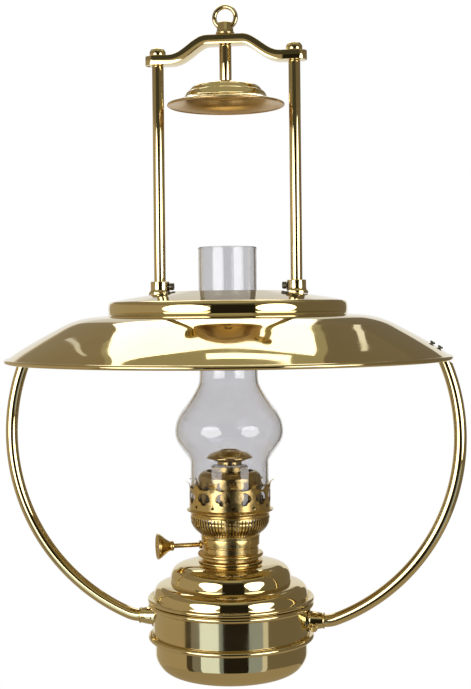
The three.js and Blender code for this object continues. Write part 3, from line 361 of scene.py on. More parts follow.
def spun_rings_group():
    """A height that changes only with the distance from the axis and the level."""
    inputs = [("Vector", VECTOR, None), ("Pitch", FLOAT, 2500.0)]
    group, given = new_group("spun_rings", inputs, [("Height", FLOAT)])
    x, y, z = node_in(group, "ShaderNodeSeparateXYZ", {0: given["Vector"]}).outputs
    square = maths(group, "ADD", maths(group, "MULTIPLY", x, x), maths(group, "MULTIPLY", y, y))
    along = maths(group, "MULTIPLY", maths(group, "ADD", maths(group, "SQRT", square), z), given["Pitch"])
    noise = node_in(group, "ShaderNodeTexNoise", {"Scale": 1, "Detail": 2, "W": along}, noise_dimensions="1D")
    node_in(group, "NodeGroupOutput", {"Height": noise.outputs[0]})
    return group


def smears_group():
    """Cloudy patches of duller polish, and finer streaks in them."""
    inputs = [("Vector", VECTOR, None), ("Scale", FLOAT, 30.0), ("Low", FLOAT, 0.08), ("High", FLOAT, 0.16)]
    group, given = new_group("smears", inputs, [("Roughness", FLOAT), ("Mask", FLOAT)])
    mask = noise_contrast(group, given, 0.38, 0.7, Detail=4, Roughness=0.6)
    span = maths(group, "SUBTRACT", given["High"], given["Low"])
    rough = maths(group, "ADD", given["Low"], maths(group, "MULTIPLY", mask, span))
    node_in(group, "NodeGroupOutput", {"Roughness": rough, "Mask": mask})
    return group


def tarnish_group():
    """The clean colour drifts to a duller one in broad patches."""
    inputs = [
        ("Vector", VECTOR, None),
        ("Clean", COLOUR, (0.6, 0.48, 0.2, 1)),
        ("Dull", COLOUR, (0.4, 0.3, 0.12, 1)),
        ("Amount", FLOAT, 0.3),
        ("Scale", FLOAT, 14.0),
    ]
    group, given = new_group("tarnish", inputs, [("Color", COLOUR)])
    patch = noise_contrast(group, given, 0.35, 0.75, Detail=5)
    amount = maths(group, "MULTIPLY", patch, given["Amount"])
    colour = colour_blend(group, amount, given["Clean"], given["Dull"])
    node_in(group, "NodeGroupOutput", {"Color": colour})
    return group


SPUN_RINGS, SMEARS, TARNISH = spun_rings_group(), smears_group(), tarnish_group()
print("shader groups:", SPUN_RINGS.name, SMEARS.name, TARNISH.name)

# %% [markdown]
# One function makes every metal. Brass on the frame is buffed to a mirror, the burner's brass is more
# golden and a little softer, the inside of the smoke bell is satin, the inside of the basket gets a very
# dark brass as painted shade, and the small screws are dark steel.

# %% Metals
RING_DEPTH = 0.02 * MM


def shader_of(name, **inputs):
    """A new material with one Principled shader, its node tree and the place in the object."""
    material = bpy.data.materials.new(name)
    tree = new_nodes(material)
    shader = node_in(tree, "ShaderNodeBsdfPrincipled", inputs)
    node_in(tree, "ShaderNodeOutputMaterial", {"Surface": shader.outputs[0]})
    return material, tree, shader, node_in(tree, "ShaderNodeTexCoord").outputs["Object"]


def bumped(tree, shader, height, strength, distance):
    """Gives the shader a bump from a height."""
    bump = node_in(tree, "ShaderNodeBump", {"Height": height, "Strength": strength, "Distance": distance})
    tree.links.new(bump.outputs["Normal"], shader.inputs["Normal"])


def metal(name, clean, dull, amount, low, high, rings=0.0, pitch=2500.0, smear_scale=30.0):
    """A metal with tarnish, smears and, where it was spun, fine rings."""
    material, tree, shader, place = shader_of(name, Metallic=1)
    colours = {"Vector": place, "Clean": (*clean, 1), "Dull": (*dull, 1), "Amount": amount}
    colour = node_in(tree, "ShaderNodeGroup", colours, node_tree=TARNISH)
    tree.links.new(colour.outputs["Color"], shader.inputs["Base Color"])
    polish = {"Vector": place, "Scale": smear_scale, "Low": low, "High": high}
    smear = node_in(tree, "ShaderNodeGroup", polish, node_tree=SMEARS)
    tree.links.new(smear.outputs["Roughness"], shader.inputs["Roughness"])
    if rings:
        ring = node_in(tree, "ShaderNodeGroup", {"Vector": place, "Pitch": pitch}, node_tree=SPUN_RINGS)
        bumped(tree, shader, ring.outputs["Height"], rings, RING_DEPTH)
    return material


PALE_BRASS = (0.72, 0.60, 0.33), (0.60, 0.46, 0.22)
GOLDEN_BRASS = (0.67, 0.50, 0.21), (0.50, 0.35, 0.13)
SATIN_BRASS = (0.60, 0.42, 0.20), (0.46, 0.30, 0.13)
# The basket's inside gets a very dark brass as painted shade, so that its slots read as dark lines.
PAINTED_SHADE_BRASS = (0.16, 0.11, 0.055), (0.06, 0.045, 0.03)
DARK_STEEL = (0.16, 0.145, 0.12), (0.08, 0.07, 0.055)

mirror_brass = metal("mirror_brass", *PALE_BRASS, 0.3, 0.03, 0.07)
spun_brass = metal("spun_brass", *PALE_BRASS, 0.35, 0.035, 0.08, rings=0.12)
holder_brass = metal("holder_brass", *PALE_BRASS, 0.35, 0.08, 0.14, rings=0.12)
burner_brass = metal("burner_brass", *GOLDEN_BRASS, 0.6, 0.17, 0.3, rings=0.2, smear_scale=90)
satin_brass = metal("satin_brass", *SATIN_BRASS, 0.6, 0.3, 0.42, rings=0.3, pitch=900.0)
painted_shade_brass = metal("painted_shade_brass", *PAINTED_SHADE_BRASS, 0.7, 0.4, 0.6, smear_scale=60)
dark_steel = metal("dark_steel", *DARK_STEEL, 0.6, 0.25, 0.45, smear_scale=200)
print("metals:", mirror_brass.name, spun_brass.name, burner_brass.name, satin_brass.name, dark_steel.name)

# %% [markdown]
# The glass is blown, so its wall is not quite even: a very low, broad wave bends what shows through it.

# %% Glass
GLASS_TINT = (0.765, 0.765, 0.785)
GLASS_IOR = 1.47
GLASS_WAVE_SCALE = 22.0
GLASS_WAVE_DEPTH = 0.6 * MM
GLASS_WAVE_STRENGTH = 0.25


def blown_glass():
    """Clear glass, slightly grey, with a low wave."""
    tint = {"Base Color": (*GLASS_TINT, 1), "Roughness": 0.0, "IOR": GLASS_IOR, "Transmission Weight": 1}
    material, tree, shader, place = shader_of("clear_glass", **tint)
    wave = node_in(tree, "ShaderNodeTexNoise", {"Vector": place, "Scale": GLASS_WAVE_SCALE, "Detail": 1})
    bumped(tree, shader, wave.outputs[0], GLASS_WAVE_STRENGTH, GLASS_WAVE_DEPTH)
    return material


clear_glass = blown_glass()
print("glass tint:", GLASS_TINT)

# %% [markdown]
# The wick is a woven cotton band, with fine ribs across and a scorched edge at the top. The weave is
# two sine waves that cross each other, which is enough at the few pixels that the wick takes up.

# %% Cotton
COTTON = (0.8, 0.76, 0.67, 1)
SCORCHED = (0.5, 0.42, 0.32, 1)
WEAVE_PITCH = 1.1 * MM
WEAVE_THREADS = 72
WEAVE_DEPTH = 0.3 * MM
WEAVE_STRENGTH = 0.8
SCORCH_DEPTH = 1.2 * MM
SCORCH_SHARE = 0.35


def cotton_band():
    """Woven cotton, with ribs round the band and a scorched upper edge."""
    material, tree, shader, place = shader_of("cotton", Roughness=0.95)
    x, y, z = node_in(tree, "ShaderNodeSeparateXYZ", {0: place}).outputs
    ribs = maths(tree, "SINE", maths(tree, "MULTIPLY", z, 2 * math.pi / WEAVE_PITCH))
    warp = maths(tree, "SINE", maths(tree, "MULTIPLY", maths(tree, "ARCTAN2", y, x), WEAVE_THREADS))
    bumped(tree, shader, maths(tree, "MULTIPLY", ribs, warp), WEAVE_STRENGTH, WEAVE_DEPTH)
    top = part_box("wick")[1].z
    levels = {"From Min": top - SCORCH_DEPTH, "From Max": top, "Value": z}
    edge = node_in(tree, "ShaderNodeMapRange", levels, interpolation_type="SMOOTHSTEP").outputs[0]
    colour = colour_blend(tree, maths(tree, "MULTIPLY", edge, SCORCH_SHARE), COTTON, SCORCHED)
    tree.links.new(colour, shader.inputs["Base Color"])
    return material


cotton = cotton_band()
print("cotton weave pitch, mm:", round(WEAVE_PITCH / MM, 2))

# %% [markdown]
# # Working by hand
# Every new piece starts as a primitive. Turned pieces start as one corner, which is extruded from
# point to point into half a section and then spun round the axis. A few helpers keep this short:
# they clear the selection first, because an operator acts on all that is selected.

# %% Helpers for modes
def to_object_mode():
    """Object mode, with nothing selected."""
    if bpy.context.mode != "OBJECT":
        bpy.ops.object.mode_set(mode="OBJECT")
    bpy.ops.object.select_all(action="DESELECT")


def take(piece):
    """Object mode, with only this piece selected."""
    to_object_mode()
    bpy.context.view_layer.objects.active = piece
    piece.select_set(True)


def edit_all(piece):
    """Edit mode on one piece, with all of it selected."""
    take(piece)
    bpy.ops.object.mode_set(mode="EDIT")
    bpy.ops.mesh.select_all(action="SELECT")


def fresh(name):
    """Names the primitive that was just added."""
    piece = bpy.context.object
    piece.name = name
    piece.data.name = name
    return piece


def tidy_mesh(piece):
    """Merges doubles and turns the faces outwards."""
    edit_all(piece)
    bpy.ops.mesh.remove_doubles(threshold=1e-6)
    bpy.ops.mesh.normals_make_consistent(inside=False)
    to_object_mode()


def settle(piece):
    """Puts the piece's place and size into its mesh."""
    take(piece)
    bpy.ops.object.transform_apply(location=True, rotation=True, scale=True)
    to_object_mode()


def apply_modifiers(piece):
    """Applies all of the piece's modifiers, in order."""
    take(piece)
    for name in [modifier.name for modifier in piece.modifiers]:
        bpy.ops.object.modifier_apply(modifier=name)
    to_object_mode()


print("mode at the start:", bpy.context.mode)

# %% [markdown]
# A piece gets its wall, is cut, drilled or softened as it needs, and is smoothed last, and only once:
# a second smoothing would keep the creases of the first.

# %% Helpers for walls, cuts and edges
def smooth(piece, angle=35):
    """Smooth shading, with creases where the surface turns by more than the angle."""
    take(piece)
    bpy.ops.object.shade_smooth_by_angle(angle=math.radians(angle))
    to_object_mode()
    return piece


def softened(piece, width, segments=2, angle=35):
    """Rounds the sharp edges by a small bevel."""
    bevel = piece.modifiers.new("bevel", "BEVEL")
    bevel.width = width
    bevel.segments = segments
    bevel.limit_method = "ANGLE"
    bevel.angle_limit = math.radians(angle)
    bevel.harden_normals = False
    apply_modifiers(piece)
    return piece


def thickened(piece, wall, offset, even=False):
    """Gives a sheet its wall."""
    solid = piece.modifiers.new("thickness", "SOLIDIFY")
    solid.thickness = wall
    solid.offset = offset
    solid.use_even_offset = even
    apply_modifiers(piece)


def cut_by(piece, cutters):
    """Cuts all the cutters out of the piece, and removes them."""
    to_object_mode()
    for cutter in cutters:
        cutter.select_set(True)
    bpy.context.view_layer.objects.active = cutters[0]
    if len(cutters) > 1:
        bpy.ops.object.join()
    cutter = bpy.context.view_layer.objects.active
    boolean = piece.modifiers.new("cut", "BOOLEAN")
    boolean.operation = "DIFFERENCE"
    boolean.solver = "EXACT"
    boolean.use_self = len(cutters) > 1
    boolean.object = cutter
    apply_modifiers(piece)
    bpy.data.objects.remove(cutter, do_unlink=True)
    return piece


print("helpers:", smooth.__name__, softened.__name__, thickened.__name__, cut_by.__name__)

# %% [markdown]
# Pieces are moved in their mesh and never as objects, so each keeps its origin at the frame's origin,
# where its body expects it. Round pieces are drawn as half a section and spun, as on a lathe.

# %% Helpers for moving and drawing
def rotated(piece, axis, degrees):
    """Turns the piece about an axis through the origin, in its mesh."""
    piece.data.transform(Matrix.Rotation(math.radians(degrees), 4, axis))
    return piece


def shifted(piece, x=0.0, y=0.0, z=0.0):
    """Moves the piece, in its mesh."""
    piece.data.transform(Matrix.Translation((x, y, z)))
    return piece


def extrude_by(x, y, z):
    """Extrudes what is selected."""
    bpy.ops.mesh.extrude_region_move(TRANSFORM_OT_translate={"value": (x, y, z)})


def corner_at(name, place):
    """Edit mode on a new piece that is only one corner."""
    to_object_mode()
    bpy.ops.mesh.primitive_plane_add(size=MM)
    piece = fresh(name)
    edit_all(piece)
    bpy.ops.mesh.merge(type="CENTER")
    bpy.ops.transform.translate(value=place)
    return piece


def drawn(name, points):
    """Edit mode on a new piece that is one corner, extruded from point to point."""
    piece = corner_at(name, points[0])
    for start, end in zip(points, points[1:]):
        extrude_by(*(to - was for was, to in zip(start, end)))
    bpy.ops.mesh.select_all(action="SELECT")
    return piece


def spin_round(steps, angle, centre=(0, 0, 0), axis=(0, 0, 1)):
    """Spins what is selected about an axis."""
    bpy.ops.mesh.spin(steps=steps, angle=angle, center=centre, axis=axis)


def turned(name, section, steps=96, closed=False, angle=None):
    """Extrudes one corner along the section, spins it round the Z axis and, at an angle, smooths it."""
    points = [(r, 0, z) for r, z in section]
    piece = drawn(name, [*points, points[0]] if closed else points)
    spin_round(steps, 2 * math.pi)
    tidy_mesh(piece)
    return smooth(piece, angle) if angle else piece


def block(size, place=(0, 0, 0), name="cutter"):
    """A box of the given size, with its middle at the given place."""
    to_object_mode()
    bpy.ops.mesh.primitive_cube_add(size=1, location=place)
    piece = fresh(name)
    piece.scale = size
    settle(piece)
    return piece


def drill(radius, low, high, steps=32):
    """A plain round cutter on the axis, between two heights."""
    to_object_mode()
    bpy.ops.mesh.primitive_cylinder_add(
        vertices=steps, radius=radius, depth=high - low, location=(0, 0, (low + high) / 2)
    )
    cutter = fresh("cutter")
    settle(cutter)
    return cutter


print("helpers:", rotated.__name__, shifted.__name__, drawn.__name__, turned.__name__, block.__name__)

# %% [markdown]
# A finished piece says which body it rides on, which CAD node it stands for and which material slot it
# fills. A few hidden nodes stay as the frame has them, and are only given their metal.

# %% Helpers for handing a piece over
def finished(piece, material, node, body="frame"):
    """Gives the piece its finish, its body and the node that it stands for."""
    piece.data.materials.clear()
    piece.data.materials.append(material)
    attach(piece, body)
    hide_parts(node)
    return piece


def second_finish(piece, material, inside):
    """Gives the faces that lie inside a second finish."""
    piece.data.materials.append(material)
    for face in piece.data.polygons:
        face.material_index = int(inside(face))


def repainted(node, material):
    """Gives a node that stays as the frame has it its metal."""
    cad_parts[node].data.materials.clear()
    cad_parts[node].data.materials.append(material)


# %% [markdown]
# A section is a list of points, each a distance from the axis and a level. Bends are arcs, sheet metal
# is a line with its wall beside it, and free curves flow through a few points given in shares.

# %% Helpers for sections
def arc(centre_r, centre_z, radius, start, end, steps):
    """Points on a circular bend, from one angle to another in degrees."""
    angles = [math.radians(start + (end - start) * step / steps) for step in range(steps + 1)]
    return [(centre_r + radius * math.cos(angle), centre_z + radius * math.sin(angle)) for angle in angles]


def foot_edge(radius, level, edge, steps=4):
    """A rounded lower edge, from the foot to the wall."""
    return arc(radius - edge, level + edge, edge, -90, 0, steps)


def head_edge(radius, level, edge, steps=4):
    """A rounded upper edge, from the wall to the top."""
    return arc(radius - edge, level - edge, edge, 0, 90, steps)


def scaled(shares, radius, run, level, rise):
    """A line given in shares of a run outwards and of a rise upwards."""
    return [(radius + run * out, level + rise * up) for out, up in shares]


def spline(before, start, end, after, t):
    """A value between start and end on a smooth line through all four."""
    slope = end - before
    curve = 2 * before - 5 * start + 4 * end - after
    twist = 3 * start - before - 3 * end + after
    return 0.5 * (2 * start + slope * t + curve * t * t + twist * t**3)


def flowing(points, steps):
    """A smooth line through the points, with the given number of steps between each two."""
    padded = [points[0], *points, points[-1]]
    line = []
    for four in zip(padded, padded[1:], padded[2:], padded[3:]):
        line += [tuple(spline(*values, step / steps) for values in zip(*four)) for step in range(steps)]
    return [*line, points[-1]]


def sheet_of(outline, wall):
    """Closes a line into a sheet, whose wall lies to the right of the line's direction."""
    inner = []
    for index, (r, z) in enumerate(outline):
        from_r, from_z = outline[max(index - 1, 0)]
        to_r, to_z = outline[min(index + 1, len(outline) - 1)]
        run = math.hypot(to_r - from_r, to_z - from_z)
        inner.append((r + (to_z - from_z) / run * wall, z - (to_r - from_r) / run * wall))
    return [*outline, *reversed(inner)]


def rolled_sheet(outline, wall, roll, steps=14):
    """A sheet whose line ends in a rolled edge of the given radius."""
    (before_r, before_z), (end_r, end_z) = outline[-2:]
    heading = math.atan2(end_z - before_z, end_r - before_r)
    reach = math.sqrt(roll * roll - wall * wall / 4)
    centre_r = end_r + reach * math.cos(heading) + wall / 2 * math.sin(heading)
    centre_z = end_z + reach * math.sin(heading) - wall / 2 * math.cos(heading)
    opening = 180 - math.degrees(math.asin(wall / 2 / roll))
    along = math.degrees(heading)
    bead = arc(centre_r, centre_z, roll, along + opening, along - opening, steps)
    closed = sheet_of(outline, wall)
    return [*closed[: len(outline)], *bead[1:-1], *closed[len(outline) :]]


print("points on a rounded edge:", len(head_edge(1, 1, 0.5)))

# %% [markdown]
# Many levels and radii at which pieces meet can be read from the boxes of the CAD nodes, and then they
# can't be typed wrongly.

# %% Sizes read from the frame
def low(node):
    """The lowest level of a CAD node."""
    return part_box(node)[0].z


def high(node):
    """The highest level of a CAD node."""
    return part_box(node)[1].z


def half_width(node):
    """Half of a CAD node's width along X, so the radius of a turned piece on the axis."""
    lowest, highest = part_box(node)
    return (highest.x - lowest.x) / 2


print("shade radius from the frame, mm:", round(half_width("shade") / MM, 1))

# %% [markdown]
# # The hanging frame
# The ring is brass wire bent into a loop. It could be a torus primitive, but bending a round section
# round with spin is what the workshop does.

# %% Suspension ring
RING_WIRE = 3.7 * MM
RING_OUTER = 21.2 * MM
RING_SWING = 40
ring_bend = (RING_OUTER - RING_WIRE) / 2
ring_centre = RING_WIRE - RING_OUTER / 2


def wire_loop(name, thickness, steps=96, facets=28):
    """A round section spun into a loop that lies in the XZ plane, round the origin."""
    to_object_mode()
    bpy.ops.mesh.primitive_circle_add(vertices=facets, radius=thickness / 2, location=(ring_bend, 0, 0))
    loop = fresh(name)
    settle(loop)
    edit_all(loop)
    spin_round(steps, 2 * math.pi, axis=(0, 1, 0))
    tidy_mesh(loop)
    return loop


suspension_ring = smooth(shifted(wire_loop("bent_ring", RING_WIRE), z=ring_centre), 60)
finished(suspension_ring, mirror_brass, "suspension_ring", "ring")
print("ring outer, mm:", round(RING_OUTER / MM, 1))

# %% [markdown]
# The eye stud is turned, with a beaded collar and a domed head. Its eye is worn round by the swinging
# ring, so the ring's own path, at several angles, is cut out of it.

# %% Eye stud
STUD_SHOULDER = 3.6 * MM
STUD_DOME = 2.2 * MM
STUD_RADIUS = 6.7 * MM
STUD_COLLAR_RADIUS = 7.6 * MM
STUD_COLLAR_HEIGHT = 3.1 * MM
STUD_FOOT = 2.5 * MM
SCREW_RADIUS = 3 * MM
RUNNING_GAP = 0.4 * MM
SEAT_GAP = 0.3 * MM
SMALL_EDGE = 0.5 * MM
hinge_level = 1.5 * RING_WIRE - RING_OUTER
stud_collar_top = hinge_level - STUD_FOOT


def domed(radius, level, height):
    """An oval dome, from its shoulder up to the axis."""
    angles = [math.radians(9 * step) for step in range(10)]
    return [*[(radius * math.cos(a), level + height * math.sin(a)) for a in angles], (0, level + height)]


def eye_stud():
    """The stud, with its screw below, its collar and its domed head with the eye."""
    foot = low("ring_stud")
    bead = STUD_COLLAR_HEIGHT / 2
    collar_bottom = stud_collar_top - STUD_COLLAR_HEIGHT
    section = [
        (0, foot),
        (SCREW_RADIUS, foot),
        (SCREW_RADIUS, collar_bottom),
        *arc(STUD_COLLAR_RADIUS - bead, collar_bottom + bead, bead, -90, 90, 12),
        (STUD_RADIUS + SMALL_EDGE, stud_collar_top),
        *arc(STUD_RADIUS + SMALL_EDGE, stud_collar_top + SMALL_EDGE, SMALL_EDGE, -90, -180, 4)[1:],
        *domed(STUD_RADIUS, hinge_level + STUD_SHOULDER, STUD_DOME),
    ]
    stud = turned("turned_eye_stud", section, steps=64)
    paths = []
    for share in (-1, -0.5, 0, 0.5, 1):
        path = shifted(wire_loop("ring_path", RING_WIRE + 2 * RUNNING_GAP, steps=72, facets=24), z=ring_bend)
        paths.append(shifted(rotated(path, "X", RING_SWING * share), z=hinge_level))
    return smooth(cut_by(stud, paths))


finished(eye_stud(), mirror_brass, "ring_stud")
print("stud collar top, mm:", round(stud_collar_top / MM, 2))

# %% [markdown]
# The yoke is a cast bar: flat in the middle, flat at both ends, and an easy S between. It starts as a
# thin plate of its outline from above, which is cut across into short strips. The strips are lifted
# along the curve, and the plate is then given its thickness.

# %% Yoke
YOKE_THICKNESS = 7.5 * MM
YOKE_RISE = 14.7 * MM
YOKE_PLATEAU = 28.8 * MM
YOKE_CURVE_RUN = 31 * MM
YOKE_EDGE = 1.1 * MM
YOKE_END_REACH = 10.2 * MM
YOKE_CUTS = 56
DRILL_SPARE = 5 * MM
yoke_low, yoke_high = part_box("yoke")
rod_reach = yoke_high.x - YOKE_END_REACH
yoke_end_top = yoke_low.z + YOKE_THICKNESS


def yoke_lift(x):
    """How high the bar's top lies above its ends, at a distance from the middle."""
    along = (abs(x) - YOKE_PLATEAU / 2) / YOKE_CURVE_RUN
    return YOKE_RISE * (0.5 + 0.5 * math.cos(math.pi * min(max(along, 0), 1)))


def cast_yoke():
    """The bar, drilled for the stud and both rods."""
    to_object_mode()
    bpy.ops.mesh.primitive_plane_add(size=1)
    bar = fresh("cast_yoke")
    depth = yoke_high.y - yoke_low.y
    bar.scale = (yoke_high.x - yoke_low.x, depth, 1)
    settle(bar)
    edit_all(bar)
    bpy.ops.mesh.bevel(offset=depth / 2 - 0.01 * MM, segments=14, affect="VERTICES")
    reach = YOKE_PLATEAU / 2 + YOKE_CURVE_RUN + 1 * MM
    for step in range(YOKE_CUTS + 1):
        bpy.ops.mesh.select_all(action="SELECT")
        x = -reach + 2 * reach * step / YOKE_CUTS
        bpy.ops.mesh.bisect(plane_co=(x, 0, 0), plane_no=(1, 0, 0))
    to_object_mode()
    for corner in bar.data.vertices:
        corner.co.z = yoke_end_top + yoke_lift(corner.co.x)
    thickened(bar, YOKE_THICKNESS, offset=-1, even=True)
    softened(bar, YOKE_EDGE, segments=4, angle=50)
    bottom, top = yoke_low.z - DRILL_SPARE, yoke_high.z + DRILL_SPARE
    hole = SCREW_RADIUS + RUNNING_GAP
    drills = [shifted(drill(hole, bottom, top), x=x) for x in (-rod_reach, 0, rod_reach)]
    return smooth(cut_by(bar, drills), 40)


finished(cast_yoke(), mirror_brass, "yoke")
print("rods at x, mm:", round(rod_reach / MM, 2))

# %% [markdown]
# Each rod screws into the yoke under a domed cap nut, and into a socket on the shade below. Left and
# right are the same, so each piece is turned once and copied to its side.

# %% Rods and cap nuts
SIDES = {"left": -1, "right": 1}
ROD_LENGTH = 183 * MM
ROD_RADIUS = 4.75 * MM
ROD_EDGE = 0.4 * MM
CAP_NUT_RADIUS = 6.6 * MM
CAP_NUT_SIDE = 4 * MM
CAP_NUT_DOME = 3.2 * MM
rod_top = yoke_low.z - SEAT_GAP
rod_shoulder = rod_top - ROD_LENGTH


def both_sides(piece, node):
    """Places a brass piece that was made on the axis at the left and right rod."""
    for side, sign in SIDES.items():
        placed = piece.copy()
        placed.data = piece.data.copy()
        placed.name = f"{piece.name}_{side}"
        bpy.context.scene.collection.objects.link(placed)
        finished(shifted(placed, x=sign * rod_reach), mirror_brass, f"{node}_{side}")
    bpy.data.objects.remove(piece, do_unlink=True)


def drawn_rod():
    """A rod with a screw at both ends."""
    section = [
        (0, low("rod_left")),
        (SCREW_RADIUS, low("rod_left")),
        (SCREW_RADIUS, rod_shoulder),
        *foot_edge(ROD_RADIUS, rod_shoulder, ROD_EDGE),
        *head_edge(ROD_RADIUS, rod_top, ROD_EDGE),
        (SCREW_RADIUS, rod_top),
        (SCREW_RADIUS, high("rod_left")),
        (0, high("rod_left")),
    ]
    return turned("drawn_rod", section, steps=48, angle=35)


def cap_nut():
    """A round nut with a domed top and a blind bore."""
    bottom = yoke_end_top + SEAT_GAP
    top = bottom + CAP_NUT_SIDE
    bore = SCREW_RADIUS + SEAT_GAP
    section = [
        (0, top + SEAT_GAP),
        (bore, top + SEAT_GAP),
        (bore, bottom),
        *foot_edge(CAP_NUT_RADIUS, bottom, SMALL_EDGE),
        *head_edge(CAP_NUT_RADIUS, top, SMALL_EDGE),
        *domed(CAP_NUT_RADIUS - SMALL_EDGE, top, CAP_NUT_DOME),
    ]
    return turned("cap_nut", section, steps=48, angle=35)


both_sides(drawn_rod(), "rod")
both_sides(cap_nut(), "rod_cap_nut")
print("rod length, mm:", round(ROD_LENGTH / MM, 1))

# %% [markdown]
# The smoke bell is spun from sheet: a shallow dome, a step, and a skirt whose edge is rolled. It hangs
# on a short stem and a hexagon nut, which shows from below.

# %% Smoke bell, its stem and nut
BELL_SHEET = 1.2 * MM
BELL_ROLL = 1.1 * MM
BELL_DOME_RADIUS = 30 * MM
BELL_DOME_HEIGHT = 7.4 * MM
BELL_SKIRT_DROP = 10 * MM
BELL_RADIUS = 48 * MM
BELL_DOME_SHARES = [(0.14, 0), (0.4, 0.035), (0.62, 0.12), (0.8, 0.3), (0.92, 0.56), (1, 1)]
BELL_SKIRT_SHARES = [(0.06, 0.03), (0.13, 0.14), (0.2, 0.34), (0.32, 0.58), (0.55, 0.8), (0.8, 0.93), (1, 1)]
STEM_RADIUS = 4.9 * MM
bell_top = high("smoke_bell")


def spun_bell():
    """The bell's sheet, from the hole for its screw out to the rolled rim."""
    step_level = bell_top - BELL_DOME_HEIGHT
    run = BELL_RADIUS - 2 * BELL_ROLL - BELL_DOME_RADIUS
    dome = scaled(BELL_DOME_SHARES, 0, BELL_DOME_RADIUS, bell_top, -BELL_DOME_HEIGHT)
    skirt = scaled(BELL_SKIRT_SHARES, BELL_DOME_RADIUS, run, step_level, -BELL_SKIRT_DROP)
    outline = flowing([(SCREW_RADIUS + RUNNING_GAP, bell_top), *dome], 4) + flowing(skirt, 4)
    section = rolled_sheet(outline, BELL_SHEET, BELL_ROLL)
    return turned("spun_bell", section, steps=128, closed=True, angle=30)


def bell_stem():
    """The stem, with a screw below and a bore for the stud's screw above."""
    top = high("smoke_bell_stem")
    foot = low("smoke_bell_stem")
    shoulder = bell_top + SEAT_GAP
    bore = SCREW_RADIUS + SEAT_GAP
    section = [
        (0, foot),
        (SCREW_RADIUS, foot),
        (SCREW_RADIUS, shoulder),
        *foot_edge(STEM_RADIUS, shoulder, SMALL_EDGE),
        *head_edge(STEM_RADIUS, top, SMALL_EDGE),
        (bore, top),
        (bore, top - 2 * SCREW_RADIUS),
        (0, top - 2 * SCREW_RADIUS),
    ]
    return turned("bell_stem", section, steps=48, angle=35)


smoke_bell = finished(spun_bell(), mirror_brass, "smoke_bell")
second_finish(smoke_bell, satin_brass, lambda face: face.normal.z < 0)
finished(bell_stem(), mirror_brass, "smoke_bell_stem")
repainted("smoke_bell_nut", dark_steel)
print("bell radius, mm:", round(BELL_RADIUS / MM, 1))

# %% [markdown]
# The shade is one large spinning: an open crown, a band that swells a little, and a dish that sweeps
# out and down to a rolled rim. The line of its outer face is drawn once, and the sheet's wall and the
# roll are worked out from it, so the inside is as true as the outside.

# %% Shade
SHADE_SHEET = 1.2 * MM
SHADE_ROLL = 1.8 * MM
CROWN_OPENING = 92 * MM
CROWN_DROP = 7.9 * MM
CROWN_SHOULDER = 3.4 * MM
BAND_RADIUS = 96.4 * MM
BAND_HEIGHT = 8 * MM
BAND_LEAN = 11
BAND_FILLET = 1.6 * MM
DISH_START = 2 * MM
DISH_DROP = 33.6 * MM
DISH_SHARES = [
    (0.06, 0.004), (0.24, 0.052), (0.4, 0.172), (0.56, 0.367), (0.72, 0.577), (0.88, 0.803), (1, 1),
]
ROLL_SET_BACK = 0.5 * MM
shade_radius = half_width("shade") + ROLL_SET_BACK
crown_edge = high("shade")
crown_slope = CROWN_DROP / (BAND_RADIUS - CROWN_OPENING / 2)


def shade_line():
    """The outer face of the shade, from the crown's opening out to the rim."""
    band_top = crown_edge - CROWN_DROP - CROWN_SHOULDER
    bottom = band_top - BAND_HEIGHT
    run = BAND_RADIUS - CROWN_SHOULDER - CROWN_OPENING / 2
    fall = CROWN_DROP * run / (run + CROWN_SHOULDER)
    crown = scaled([(s, s) for s in (0, 0.02, 0.25, 0.5, 0.75)], CROWN_OPENING / 2, run, crown_edge, -fall)
    shoulder = arc(BAND_RADIUS - CROWN_SHOULDER, band_top, CROWN_SHOULDER, 84, BAND_LEAN, 12)
    start_r, start_z = shoulder[-1]
    lean = math.radians(BAND_LEAN)
    swell = (start_z - bottom - BAND_FILLET) / (2 * math.sin(lean))
    centre = start_r - swell * math.cos(lean), start_z - swell * math.sin(lean)
    band = arc(*centre, swell, BAND_LEAN, -BAND_LEAN, 10)
    fillet = arc(BAND_RADIUS + BAND_FILLET, bottom + BAND_FILLET, BAND_FILLET, 186, 266, 8)
    dish_run = shade_radius - 2 * SHADE_ROLL - BAND_RADIUS
    dish = scaled(DISH_SHARES, BAND_RADIUS, dish_run, bottom, -DISH_DROP)
    return [*crown, *shoulder, *band[1:], *fillet, *flowing([(BAND_RADIUS + DISH_START, bottom), *dish], 5)]


shade_section = rolled_sheet(shade_line(), SHADE_SHEET, SHADE_ROLL)
spun_shade = turned("spun_shade", shade_section, steps=256, closed=True, angle=25)
finished(spun_shade, spun_brass, "shade")
print("shade, faces:", len(spun_shade.data.polygons))

# %% [markdown]
# The rods stand in flared sockets on the crown. The crown slopes, so a cone is cut off under the foot.
# A dark cheese-headed set screw with a slot clamps each rod, from the side that faces the glass.

# %% Rod sockets
SOCKET_RADIUS = 7.7 * MM
SOCKET_FOOT_RADIUS = 9.25 * MM
SOCKET_HEIGHT = 10 * MM
crown_seat = crown_edge - crown_slope * (rod_reach - CROWN_OPENING / 2)


